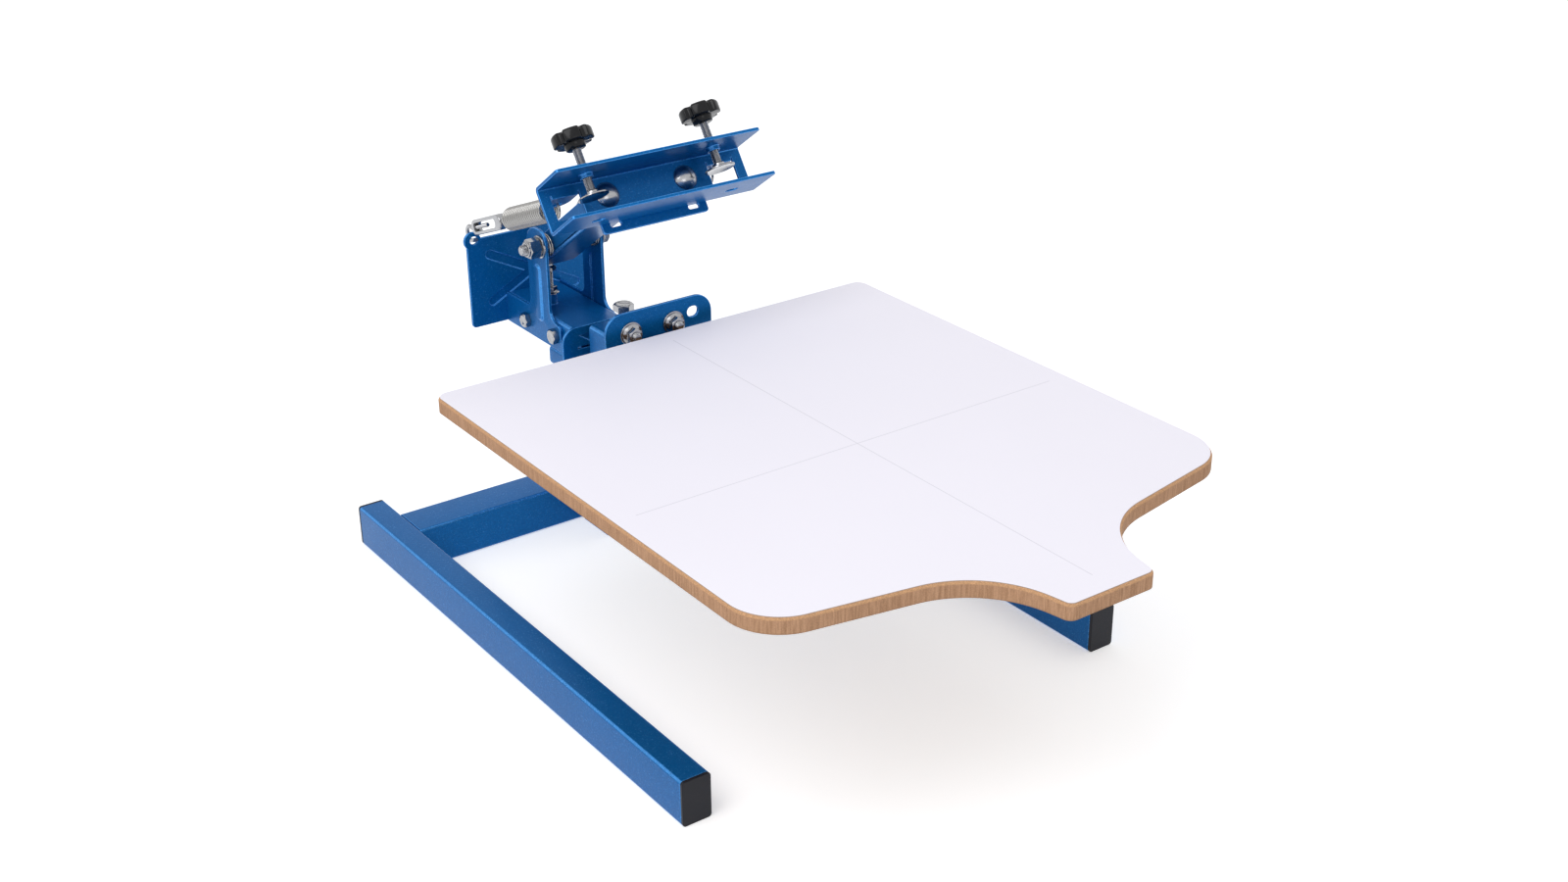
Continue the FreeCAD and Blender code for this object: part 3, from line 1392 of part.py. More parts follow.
def pressure_disc(name, sign):
    """Thin dished disc with a boss in which the screw's tip turns."""
    piece = new_body(name)
    bore = "(size.clamp_screw_radius + size.turn_play)"
    boss_top = "(-size.disc_top + size.disc_boss_high)"
    under = "(-size.disc_top - size.disc_sheet)"
    outline = [
        ("0", under),
        ("size.disc_boss_radius", under),
        ("size.disc_radius", f"{under} - size.disc_dish"),
        ("size.disc_radius", f"{under} - size.disc_dish + size.disc_sheet"),
        ("size.disc_boss_radius", "-size.disc_top"),
        ("size.disc_boss_radius", boss_top),
        (bore, boss_top),
        (bore, "-size.disc_top"),
        ("0", "-size.disc_top"),
    ]
    turned(piece, outline)
    seat_on_screw(finish(piece, name), sign)


for side_name, sign in (("left", "-"), ("right", "")):
    clamp_screw(f"{side_name}_clamp_screw", sign)
    knob(f"{side_name}_knob", sign)
    pressure_disc(f"{side_name}_pressure_disc", sign)


# Turnbuckles and springs, drawn along -Y from the hole in the ear
def link_length():
    """Distance along the line of pull from the ear to the lug at the middle of the travel."""
    reach = number("size.lug_hole_a")
    low = number(f"{LUG_MID} - size.line_drop")
    pivot_gap = number(f"{EAR_PLANE} - size.pivot_y")
    pivot_rise = number("size.pivot_z - size.ear_hole_z")
    lengths = []
    for share in (0, 1):
        tilt = math.radians(number("size.rest_tilt") * share)
        forward = pivot_gap + reach * math.cos(tilt) - low * math.sin(tilt)
        upward = pivot_rise + reach * math.sin(tilt) + low * math.cos(tilt)
        sideways = number("size.lug_x - size.ear_hole_x")
        lengths.append(math.sqrt(forward**2 + upward**2 + sideways**2 - number("size.line_rise") ** 2))
    return sum(lengths) / len(lengths)


def turnbuckle(name, side):
    """Long open body with a threaded end at each end of its window."""
    start = number("size.buckle_start")
    end = start + number("size.buckle_long")
    rise = number("size.line_rise")
    thick = number("size.buckle_thick")

    def loaf(low, high, half, deep):
        block = Part.makeBox(deep, high - low, 2 * half, Vector(-deep / 2, -high, rise - half))
        corners = [edge for edge in block.Edges if abs(edge.tangentAt(edge.FirstParameter).x) > 0.5]
        return block.makeFillet(half * NEARLY_ROUND, corners)

    outer = loaf(start, end, number("size.buckle_half"), thick)
    rims = [edge for edge in outer.Edges if abs(edge.tangentAt(edge.FirstParameter).x) < 0.5]
    outer = outer.makeFillet(number("size.buckle_round"), rims)
    window_start = start + number("size.buckle_near_end")
    window_end = end - number("size.buckle_far_end")
    window = loaf(window_start, window_end, number("size.buckle_slot_half"), 2 * thick)
    bore = number("size.hook_wire + size.thread_play")
    hole = Part.makeCylinder(bore, end, Vector(0, 0, rise), Vector(0, -1, 0))
    item = document.addObject("Part::Feature", name)
    item.Shape = outer.cut(window).cut(hole).removeSplitter()
    item.Placement = link_placement(side)
    finish(item, name)


def bent_wire(pieces, radius):
    """Round wire along straight runs and arcs that follow one another."""
    path = Part.Wire(pieces)
    first = pieces[0]
    start = first.valueAt(first.FirstParameter)
    heading = first.tangentAt(first.FirstParameter)
    circle = Part.Wire(Part.Circle(start, heading, radius).toShape())
    return path.makePipeShell([circle], True, False)


def ear_hook(name, side):
    """Threaded hook: up and over the ear, down behind it and forward through its hole."""
    rise = number("size.line_rise")
    step = number("size.hook_step")
    hump = number("size.hook_hump")
    crest = number("size.rear_sheet / 2")
    behind = crest + number("size.hook_wire + size.panel_gap")
    tail = number("size.buckle_start + size.thread_long")
    climb = 2 * math.atan2(hump / 2, step)
    level = Vector(0, 1, 0)
    uphill = Vector(0, math.cos(climb), math.sin(climb))
    foot = Vector(0, crest - 2 * step, rise)
    shoulder = Vector(0, crest - step, rise + hump / 2)
    top = Vector(0, crest, rise + hump)
    rear = Vector(0, behind + number("size.hook_bend"), (rise + hump) / 2)
    hole = Vector(0, behind, 0)
    pieces = [Part.LineSegment(Vector(0, -tail, rise), foot).toShape()]
    pieces += arc_through(foot, level, shoulder, uphill)
    pieces += arc_through(shoulder, uphill, top, level)
    pieces += arc_through(top, level, rear, Vector(0, 0, -1))
    pieces += arc_through(rear, Vector(0, 0, -1), hole, -level)
    pieces.append(Part.LineSegment(hole, Vector(0, -number("size.hook_tip"), 0)).toShape())
    item = document.addObject("Part::Feature", name)
    item.Shape = bent_wire(pieces, number("size.hook_wire"))
    item.Placement = link_placement(side)
    finish(item, name)


def eye_bolt(name, side):
    """Threaded shank with a ring that the spring hooks into."""
    rise = number("size.line_rise")
    wire = number("size.hook_wire")
    ring = number("size.eye_radius")
    near = number("size.buckle_start + size.buckle_long")
    middle = near + ring + wire
    inside = near - number("size.buckle_far_end") - wire
    long = number("size.thread_long") / 2 + wire
    shank = Part.makeCylinder(wire, long, Vector(0, -inside, rise), Vector(0, -1, 0))
    loop = Part.makeTorus(ring, number("size.eye_wire"), Vector(0, -middle, rise), Vector(1, 0, 0))
    item = document.addObject("Part::Feature", name)
    item.Shape = shank.fuse(loop).removeSplitter()
    item.Placement = link_placement(side)
    finish(item, name)


def lift_spring_path(steps):
    """Centre line and headings of the spring: a loop in the eye, the coils and a loop for the lug.

    The loops are circles through the line of pull, level in the eye and upright in the lug. The coil's
    points turn about that line by equal angles and climb by the pitch.
    """
    rise = number("size.line_rise")
    coil = number("size.spring_radius")
    start = number("size.spring_start")
    pitch = (number("size.spring_end") - start) / SPRING_TURNS
    loop = number("size.spring_loop")
    hook = number("size.spring_hook")
    front = link_length()
    rear = number(
        "size.buckle_start + size.buckle_long + 2 * size.eye_radius + size.hook_wire"
        " - size.eye_wire - size.spring_wire - size.turn_play"
    )
    points = []
    headings = []
    for index in range(-SPRING_HOOK_STEPS * steps, SPRING_LOOP_STEPS * steps + 1):
        angle = math.radians(LOOP_STEP_ANGLE) * index / steps
        points.append(Vector(loop * math.sin(angle), -rear - loop * (1 - math.cos(angle)), rise))
        headings.append(Vector(math.cos(angle), -math.sin(angle), 0))
    for index in range(steps, 4 * SPRING_TURNS * steps + 1):
        angle = math.pi / 2 * index / steps
        along = start + pitch * index / (4 * steps)
        points.append(Vector(coil * math.sin(angle), -along, rise + coil * math.cos(angle)))
        slope = pitch / (2 * math.pi)
        headings.append(Vector(coil * math.cos(angle), -slope, -coil * math.sin(angle)).normalize())
    for index in range(SPRING_LOOP_STEPS * steps, -SPRING_HOOK_STEPS * steps - 1, -1):
        angle = math.radians(LOOP_STEP_ANGLE) * index / steps
        points.append(Vector(0, -front + hook * (1 - math.cos(angle)), rise + hook * math.sin(angle)))
        headings.append(Vector(0, -math.sin(angle), -math.cos(angle)))
    return points, headings


def lift_spring(name, side):
    """Extension spring with one hook loop at each end."""
    wire = number("size.spring_wire")
    points, headings = lift_spring_path(1)
    item = document.addObject("Part::Feature", name)
    item.Shape = wire_tube(points, headings, wire)
    item.Placement = link_placement(side)
    finish(item, name)
    print(name, "least gap to itself", round(least_gap(lift_spring_path(6)[0], wire), 2))


for side_name, side in (("left", -1), ("right", 1)):
    turnbuckle(f"{side_name}_turnbuckle", side)
    ear_hook(f"{side_name}_turnbuckle_hook", side)
    eye_bolt(f"{side_name}_turnbuckle_eye", side)
    lift_spring(f"{side_name}_lift_spring", side)

document.recompute()
faults = [item.Name for item in document.Objects if "Invalid" in item.State or "Error" in item.State]
if faults:
    raise RuntimeError(f"These objects failed: {faults}")
for item in parts:
    if item.Shape.isNull() or not item.Shape.isValid():
        raise RuntimeError(f"{item.Label} has no valid shape")
os.makedirs("parts", exist_ok=True)
whole = Part.makeCompound([item.Shape for item in parts]).BoundBox
for item in parts:
    item.Shape.exportStep(f"parts/{item.Label}.step")
print(len(parts), "pieces, X", round(whole.XMin, 2), round(whole.XMax, 2))
print("Y", round(whole.YMin, 2), round(whole.YMax, 2), "Z", round(whole.ZMin, 2), round(whole.ZMax, 2))
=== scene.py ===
import json
import math

import bmesh
import bpy
import numpy as np
from mathutils import Matrix, Vector

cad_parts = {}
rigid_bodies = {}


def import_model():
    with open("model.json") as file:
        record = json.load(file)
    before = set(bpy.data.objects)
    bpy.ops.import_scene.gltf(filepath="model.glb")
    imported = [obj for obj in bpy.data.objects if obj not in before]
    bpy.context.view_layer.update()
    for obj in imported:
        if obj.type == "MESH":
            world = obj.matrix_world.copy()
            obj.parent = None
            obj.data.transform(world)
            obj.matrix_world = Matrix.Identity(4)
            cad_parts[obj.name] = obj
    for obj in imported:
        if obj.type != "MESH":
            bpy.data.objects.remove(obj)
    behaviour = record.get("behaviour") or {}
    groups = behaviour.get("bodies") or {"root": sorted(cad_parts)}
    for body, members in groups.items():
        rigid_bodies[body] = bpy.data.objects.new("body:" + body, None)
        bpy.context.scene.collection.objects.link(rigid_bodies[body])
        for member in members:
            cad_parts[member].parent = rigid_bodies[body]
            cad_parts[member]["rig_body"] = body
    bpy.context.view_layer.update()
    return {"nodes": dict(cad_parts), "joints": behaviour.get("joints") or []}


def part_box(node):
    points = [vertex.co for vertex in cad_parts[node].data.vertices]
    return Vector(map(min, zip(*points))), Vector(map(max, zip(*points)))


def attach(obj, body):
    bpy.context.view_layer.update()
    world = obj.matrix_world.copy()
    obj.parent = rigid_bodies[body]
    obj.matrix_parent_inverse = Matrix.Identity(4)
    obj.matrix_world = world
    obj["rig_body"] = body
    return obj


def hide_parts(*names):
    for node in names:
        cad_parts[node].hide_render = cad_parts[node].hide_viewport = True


bl_info = {
    "name": "Tabletop Screen Press",
    "version": (1, 0, 0),
    "blender": (4, 5, 0),
    "location": "3D View > Sidebar > Screen Press",
    "description": "Dresses a tabletop screen printing press around its fixed frame",
    "category": "Object",
}

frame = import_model()
NODES = frame["nodes"]
JOINTS = {joint["name"]: joint for joint in frame["joints"]}
MM = 0.001

# Places that the frame gives
PIVOT = np.array(JOINTS["arm_lift"]["pos_m"])
REST_TILT = math.radians(35.0)
BOARD_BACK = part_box("pallet_board")[1].y
BOARD_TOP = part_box("board_laminate")[1].z
HEAD_TURN = np.array(Matrix.Rotation(-REST_TILT, 3, "X"))

# Sizes of the CAD in millimetres, from the middle of the board's back edge at its top face
BOARD_HALF = 225.0
BOARD_LONG = 570.0
BOARD_LOW = -13.65
BOARD_LOW_EDGE = 0.4
BACK_ROUND = 10.0
SHOULDER_Y = 466.4
SHOULDER_ROUND = 43.0
THROAT_X = 52.2
THROAT_Y = 497.6
THROAT_ROUND = 80.0
TONGUE_HALF = 39.0
TONGUE_ROUND = 6.0
CORNER_STEPS = 24
RIM = 1.5
RIM_ROUNDING = ((0.0, 1.8), (0.25, 1.1), (0.8, 0.5), (RIM, 0.0))
SKIN = 0.8
SKIN_EDGE = 0.12

# Printed guide lines of the board, the depth of its rounded rim and the height of a darker band along the
# bottom of its cut edge, in metres from its back edge and its top
LINES_CROSS = 0.285
LONG_LINE_MIDDLE = 0.284
LONG_LINE_HALF = 0.264
WIDE_LINE_HALF = 0.205
LINE_SOFT = 0.0003
ROUNDED_LAYER = 0.0027
BOTTOM_DARK_BAND = 0.0128

# Head, its side plates and bolts
PIVOT_Y = 157.0
PIVOT_Z = 43.5
PIVOT_HEAD = 6.4
PIVOT_SHANK = 62.0
PIVOT_LONG = 85.3
PIVOT_NUT = 11.7
PIVOT_COLLAR = 7.5
PIVOT_COLLAR_HIGH = 2.0
PIVOT_WASHER = 2.0
SIDE_OUTER = 31.3
SIDE_INNER = SIDE_OUTER - 6.0
SIDE_BOLT_ROWS = (138.0, 191.0)
SIDE_BOLT_Z = -40.0
STOP_X = -10.5
STOP_Y = 182.0
STOP_HEAD = 4.3
STOP_NUT_HIGH = -14.0
STOP_NUT_LOW = -28.0
GATE_BOLT_X = 22.5
GATE_BOLT_Z = 0.5
GATE_BOLT_LONG = 19.4
GATE_FRONT = 15.0
GATE_REAR = 21.0
GATE_WASHER = 1.6
HEIGHT_BOLT_Y = 63.0
HEIGHT_BOLT_LONG = 61.0
HEIGHT_HEAD_Z = 2.0

# Clamp, its screws, knobs and discs
WEB_FRONT = 168.1
WEB_REAR = WEB_FRONT - 6.0
CLAMP_BOLT_X = 40.0
CLAMP_BOLT_DROP = 8.0
DOME_RADIUS = 11.5
DOME_HIGH = 6.3
CLAMP_SCREW_X = 64.5
CLAMP_SCREW_A = 188.0
SCREW_TIP = 0.4
SCREW_IN_KNOB = 3.0
DISC_TOP = 10.0
DISC_SHEET = 1.6
DISC_FLAT = 5.8
DISC_RADIUS = 13.8
DISC_BORE = 4.3
DISC_COLLAR = 2.6
KNOB_LOW = 36.0
KNOB_TOP = 47.5
KNOB_RADIUS = 18.3
KNOB_NOTCH = 3.8
KNOB_NOTCH_OUT = 18.6
KNOB_TURN = 63.0
KNOB_LOBES = 5
KNOB_COLUMNS = 240
KNOB_SMOOTHING = 1.6
KNOB_LOW_ROUND = 1.4
KNOB_TOP_ROUND = 3.0
KNOB_HUB_LONG = 5.0
KNOB_HUB_LOW = 8.2
KNOB_HUB_TOP = 9.5
KNOB_SHARP = math.radians(50.0)

# Lifting gear and the pivot's coils
EAR_X = 62.0
EAR_Y = 232.5
EAR_Z = 35.0
LUG_X = 79.0
LUG_REACH = 148.0
LUG_DROP = -5.0
LINE_RISE = 11.2
HOOK_WIRE = 2.0
HOOK_CREST = 1.5
HOOK_BEHIND = 3.8
HOOK_BEND = 5.6
HOOK_HUMP = 2.8
HOOK_STEP = 5.2
HOOK_TIP = 9.0
HOOK_OVERLAP = 3.0
HOOK_THREAD_OUT = 8.0
PATH_STEP = 0.5
BUCKLE_START = 14.0
BUCKLE_LONG = 74.0
BUCKLE_FAR_END = 12.0
THREAD_LONG = 34.0
EYE_RADIUS = 5.6
EYE_WIRE = 1.7
EYE_STEPS = 24
SPRING_WIRE = 1.25
SPRING_RADIUS = 9.75
SPRING_START = 110.0
SPRING_END = 201.0
SPRING_TURNS = 21
SPRING_LOOP = 6.5
SPRING_HOOK = 8.0
SPRING_SEAT_GAP = 0.3
SPRING_SHARP = math.radians(70.0)
COIL_MIDDLE = 24.65
COIL_RADIUS = 10.0
COIL_WIRE = 0.9
COIL_PITCH = 2.3
COIL_STEPS = 40
PIVOT_TURNS = 2

# The camera's place in millimetres from the board, its turns in degrees (to the right of +Y, down, about its
# own axis), and the stage in metres
VIEW_PLACE = (-864.21, -1382.70, 664.37)
VIEW_HEADING = 35.8455
VIEW_DOWN = 25.3692
VIEW_ROLL = -0.3665
VIEW_SENSOR = 36.0
FLOOR_HALF = 30.0
LAMP_TARGET = (0.0, 0.0, 0.25)

# Screws, nuts and washers
M8 = 4.0
M8_BORE = 4.1
M8_FLATS = 13.0
M8_PITCH = 1.25
M8_HEAD = 5.5
M8_NUT = 6.5
M8_FLANGE_NUT = 8.0
M8_SHORT = 14.5
M10 = 5.0
M10_BORE = 5.1
M10_FLATS = 17.0
M10_PITCH = 1.5
M10_HEAD = 7.0
M10_NUT = 8.0
M4_PITCH = 0.8
WASHER_RADIUS = 11.0

# Proportions of threads and hexagons, and the slopes that mark a rounded edge
THREAD_DEPTH_SHARE = 0.61
THREAD_STEEP = 1.35
THREAD_ROOT_FLAT = 0.2
THREAD_END_SHARE = 1.15
HEX_CHAMFER_SHARE = 0.95
HEX_SLOPE = math.tan(math.radians(30.0))
SLANTED = 0.93
SHARP_ANGLE = math.radians(38.0)
FLAT_ANGLE = math.radians(0.6)


def colour(name, description, default):
    """Property for the colour of a finish."""
    return bpy.props.FloatVectorProperty(
        name=name, description=description, default=default, subtype="COLOR", size=3, min=0, max=1,
    )


def length(name, description, default):
    """Property for a small length in metres."""
    return bpy.props.FloatProperty(name=name, description=description, default=default, unit="LENGTH")


def amount(name, description, default, **more):
    """Property for a plain number or a lamp's power."""
    return bpy.props.FloatProperty(name=name, description=description, default=default, **more)


class PressFinish(bpy.types.PropertyGroup):
    """Colours of the finishes"""

    paint: colour("Paint", "Blue of the powder coat", (0.0, 0.105, 0.325))
    # Brighter blue that paints a highlight on the rounded edges and slanted faces
    highlight_blue: colour("Edge shine", "Blue of the painted edges", (0.045, 0.27, 0.68))
    fleck: amount("Fleck", "Brightness of the paint's metal fleck", 0.5, min=0, max=2)
    plating: colour("Plating", "Colour of the zinc plating", (0.37, 0.372, 0.385))
    laminate: colour("Laminate", "Colour of the board's face", (0.93, 0.895, 0.96))
    fibre: colour("Fibreboard", "Colour of the board's cut edge", (0.54, 0.305, 0.16))
    black: colour("Black", "Colour of the knobs", (0.008, 0.008, 0.009))


class PressSizes(bpy.types.PropertyGroup):
    """Small sizes that the dressing adds"""

    edge: length("Sheet edge", "Rounding of the painted sheet's edges", 0.0006)
    tube_edge: length("Tube edge", "Rounding of the tubes' cut ends", 0.0004)
    cap_edge: length("Cap edge", "Rounding of the end caps' edges", 0.0007)
    buckle_edge: length("Turnbuckle edge", "Rounding of the turnbuckles' edges", 0.0002)
    lines: length("Guide lines", "Width of the board's guide lines", 0.0007)


class PressStage(bpy.types.PropertyGroup):
    """Camera and light"""

    lens: amount("Lens", "Camera lens on a sensor 36 mm wide, in millimetres", 45.13, min=1)
    key: amount("Key light", "Power of the large lamp", 23.0, unit="POWER", min=0)
    fill: amount("Fill light", "Power of the small lamps", 4.0, unit="POWER", min=0)
    surround: amount("Surround", "Strength of the pale surroundings", 0.70, min=0)


def unit(vector):
    """The vector with a length of one."""
    return vector / np.linalg.norm(vector)


# Shapes are pairs of arrays: points (n, 3) and faces (m, 4)
def grid(points, wrap_rows=False):
    """Faces of a grid of points whose columns close on themselves, and whose rows may."""
    rows, columns = points.shape[:2]
    numbers = np.arange(rows * columns).reshape(rows, columns)
    if wrap_rows:
        numbers = np.concatenate([numbers, numbers[:1]], 0)
    numbers = np.concatenate([numbers, numbers[:, :1]], 1)
    quads = np.stack([numbers[:-1, :-1], numbers[:-1, 1:], numbers[1:, 1:], numbers[1:, :-1]], -1)
    return points.reshape(-1, 3), quads.reshape(-1, 4)


def moved(shape, turn, place, scale=1.0):
    """The shape scaled, turned by a 3 by 3 matrix and then moved."""
    points, faces = shape
    return points * scale @ turn.T + np.asarray(place, float), faces


def together(shapes):
    """One shape that holds all the shapes."""
    points = []
    faces = []
    start = 0
    for part_points, part_faces in shapes:
        points.append(part_points)
        faces.append(part_faces + start)
        start += len(part_points)
    return np.concatenate(points), np.concatenate(faces)


def lathe(profile, columns=48, limit=None, closed=False):
    """Turns the profile's points (radius, height) about Z: x = r cos t, y = r sin t, z = height.

    Limit is the largest radius at the angle t, such as a hexagon's, and cuts the turned shape's flats.
    """
    profile = np.asarray(profile, float)
    angle = np.arange(columns) * 2 * math.pi / columns
    radius = np.repeat(profile[:, :1], columns, 1)
    if limit is not None:
        radius = np.minimum(radius, limit(angle)[None, :])
    height = np.repeat(profile[:, 1:], columns, 1)
    points = np.stack([radius * np.cos(angle), radius * np.sin(angle), height], -1)
    return grid(points, wrap_rows=closed)


def hexagon(flats):
    """Radius of a hexagon at the angle t: half its flats over the cosine of t from the nearest flat."""
    def radius(angle):
        from_flat = (angle + math.pi / 6) % (math.pi / 3) - math.pi / 6
        return flats / 2 / np.cos(from_flat)
    return radius


def arc_points(centre, radius, start, end, steps):
    """Points (r, z) on a circle's arc between two angles in degrees."""
    angle = np.radians(np.linspace(start, end, steps))
    return np.stack([centre[0] + radius * np.cos(angle), centre[1] + radius * np.sin(angle)], -1)


def hex_body(flats, low, high, bore=0.0, chamfer_low=True):
    """Hexagonal head or nut between two heights, its corners cut by a 30 degree cone at its faces."""
    corner = flats / 2 / math.cos(math.pi / 6)
    face = flats / 2 * HEX_CHAMFER_SHARE
    if (corner - face) * HEX_SLOPE * 2 > high - low:
        raise ValueError("the hexagon is too thin for its chamfers")
    rows = [[bore, low]]
    if chamfer_low:
        rows += [[radius, low + (radius - face) * HEX_SLOPE] for radius in np.linspace(face, corner, 7)]
    else:
        rows.append([corner, low])
    rows += [[radius, high - (radius - face) * HEX_SLOPE] for radius in np.linspace(corner, face, 7)]
    rows.append([bore, high])
    return lathe(rows, 72, hexagon(flats), closed=bore > 0)


def ring_body(inner, outer, low, high, edge):
    """Washer with rounded outer edges."""
    rows = [[inner, low], [outer - edge, low]]
    rows += arc_points((outer - edge, low + edge), edge, -90, 0, 4).tolist()
    rows += arc_points((outer - edge, high - edge), edge, 0, 90, 4).tolist()
    rows += [[inner, high]]
    return lathe(rows, 56, closed=True)


def thread(radius, pitch, low, high, columns=28, steps=6):
    """Screw thread: r = R - depth * (1 - c), where c is |2 frac(z / pitch - t / 2 pi) - 1|.

    That wave is stretched and clipped, so that crests and roots are flat. A 45 degree cone cuts each end.
    """
    depth = pitch * THREAD_DEPTH_SHARE
    rows = int(round((high - low) / pitch * steps)) + 1
    height = np.linspace(low, high, rows)[:, None]
    angle = (np.arange(columns) * 2 * math.pi / columns)[None, :]
    wave = np.abs(2 * ((height / pitch - angle / (2 * math.pi)) % 1.0) - 1)
    crest = np.clip(wave * THREAD_STEEP - THREAD_ROOT_FLAT, 0.0, 1.0)
    thick = radius - depth * (1 - crest)
    end = np.minimum(height - low, high - height)
    thick = np.minimum(thick, radius - depth * THREAD_END_SHARE + end)
    points = np.stack([thick * np.cos(angle), thick * np.sin(angle), height + 0 * angle], -1)
    first, last = (np.repeat(points[index].mean(0)[None, None], columns, 1) for index in (0, -1))
    return grid(np.concatenate([first, points, last]))


def tube(path, radius, around=16):
    """Round wire along a path: each ring lies across the path, carried along it without twist."""
    path = np.asarray(path, float)
    heading = np.gradient(path, axis=0)
    heading /= np.linalg.norm(heading, axis=1)[:, None]
    side = np.zeros_like(path)
    current = np.array([1.0, 0.0, 0.0]) if abs(heading[0, 0]) < 0.9 else np.array([0.0, 0.0, 1.0])
    for index in range(len(path)):
        current = unit(current - heading[index] * np.dot(current, heading[index]))
        side[index] = current
    other = np.cross(heading, side)
    angle = (np.arange(around) * 2 * math.pi / around)[None, :, None]
    ring = side[:, None, :] * np.cos(angle) + other[:, None, :] * np.sin(angle)
    points = path[:, None, :] + ring * radius
    start = np.repeat(path[:1, None, :], around, 1)
    end = np.repeat(path[-1:, None, :], around, 1)
    return grid(np.concatenate([start, points, end]))


def resampled(path, spacing):
    """The same path with evenly spaced points."""
    path = np.asarray(path, float)
    gaps = np.linalg.norm(np.diff(path, axis=0), axis=1)
    along = np.concatenate([[0.0], np.cumsum(gaps)])
    count = max(int(along[-1] / spacing), 2)
    wanted = np.linspace(0, along[-1], count)
    return np.stack([np.interp(wanted, along, path[:, axis]) for axis in range(3)], -1)


def piece(node, shapes, look="zinc_plate", sharp=SHARP_ANGLE, caps=()):
    """Replaces a CAD node by shapes in metres, in one of the finishes.

    Caps are flat faces of many corners that close the shape.
    """
    points, faces = together(shapes)
    mesh = bpy.data.meshes.new(f"{node}_finished")
    mesh.from_pydata(points.tolist(), [], faces.tolist() + [list(cap) for cap in caps])
    tidy_mesh(mesh)
    mesh.materials.append(finish(look))
    stand_in(node, mesh, sharp)


def placed(name, data):
    """A new object in the scene."""
    item = bpy.data.objects.new(name, data)
    bpy.context.scene.collection.objects.link(item)
    return item


def stand_in(node, mesh, sharp):
    """Object with the mesh that replaces a CAD node and rides on the same body."""
    mesh.shade_smooth()
    mesh.set_sharp_from_angle(angle=sharp)
    item = placed(f"{node}_finished", mesh)
    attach(item, NODES[node]["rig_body"])
    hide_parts(node)
    return item


def tidy_mesh(mesh, flat=None):
    """Merges equal points, dissolves flat faces where asked and turns the faces outward."""
    work = bmesh.new()
    work.from_mesh(mesh)
    bmesh.ops.remove_doubles(work, verts=work.verts, dist=1e-6)
    bmesh.ops.dissolve_degenerate(work, edges=work.edges, dist=1e-7)
    if flat:
        bmesh.ops.dissolve_limit(work, angle_limit=flat, verts=work.verts, edges=work.edges)
    bmesh.ops.recalc_face_normals(work, faces=work.faces)
    work.to_mesh(mesh)
    work.free()


def softened(node, look, width, segments=2, highlight_look=None):
    """A copy of a CAD node with its edges rounded by a bevel, so that they catch the light.

    With an edge finish, the bevels and the faces that slant from every axis take that finish, a brighter blue
    that paints a highlight on the rounded edges.
    """
    mesh = NODES[node].data.copy()
    tidy_mesh(mesh, FLAT_ANGLE)
    mesh.materials.clear()
    mesh.materials.append(finish(look))
    item = stand_in(node, mesh, SHARP_ANGLE)
    bevel = item.modifiers.new("rounded edges", "BEVEL")
    # The bevels and the slanted faces take a brighter blue, a painted highlight
    if highlight_look:
        mesh.materials.append(finish(highlight_look))
        bevel.material = 1
        turn = HEAD_TURN if NODES[node]["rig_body"] == "print_head" else np.eye(3)
        normals = np.array([tuple(face.normal) for face in mesh.polygons]) @ turn
        mesh.polygons.foreach_set("material_index", (np.abs(normals).max(1) < SLANTED).astype(np.int32))
    bevel.width = width
    bevel.segments = segments
    bevel.limit_method = "ANGLE"
    bevel.angle_limit = SHARP_ANGLE
    bevel.use_clamp_overlap = False
    bevel.harden_normals = True


def dress(node, look):
    """Gives a CAD node that stays one of the finishes."""
    materials = NODES[node].data.materials
    materials.clear()
    materials.append(finish(look))


class Value:
    """A number socket that Python's operators turn into Math nodes."""

    def __init__(self, recipe, socket):
        self.recipe = recipe
        self.socket = socket

    def math(self, operation, *others, clamp=False):
        """A Math node with this value first."""
        inputs = dict(enumerate((self, *others)))
        return self.recipe.node("ShaderNodeMath", inputs, operation=operation, use_clamp=clamp)

    def __add__(self, other):
        return self.math("ADD", other)

    def __sub__(self, other):
        return self.math("SUBTRACT", other)

    def __rsub__(self, other):
        return self.recipe.node("ShaderNodeMath", {0: other, 1: self}, operation="SUBTRACT")

    def __mul__(self, other):
        return self.math("MULTIPLY", other)

    def __truediv__(self, other):
        return self.math("DIVIDE", other)

    def __pow__(self, other):
        return self.math("POWER", other)

    def __abs__(self):
        return self.math("ABSOLUTE")

    def above(self, edge, soft):
        """Rises from 0 to 1 across a soft edge."""
        return ((self - edge) / soft + 0.5).math("MULTIPLY", 1.0, clamp=True)


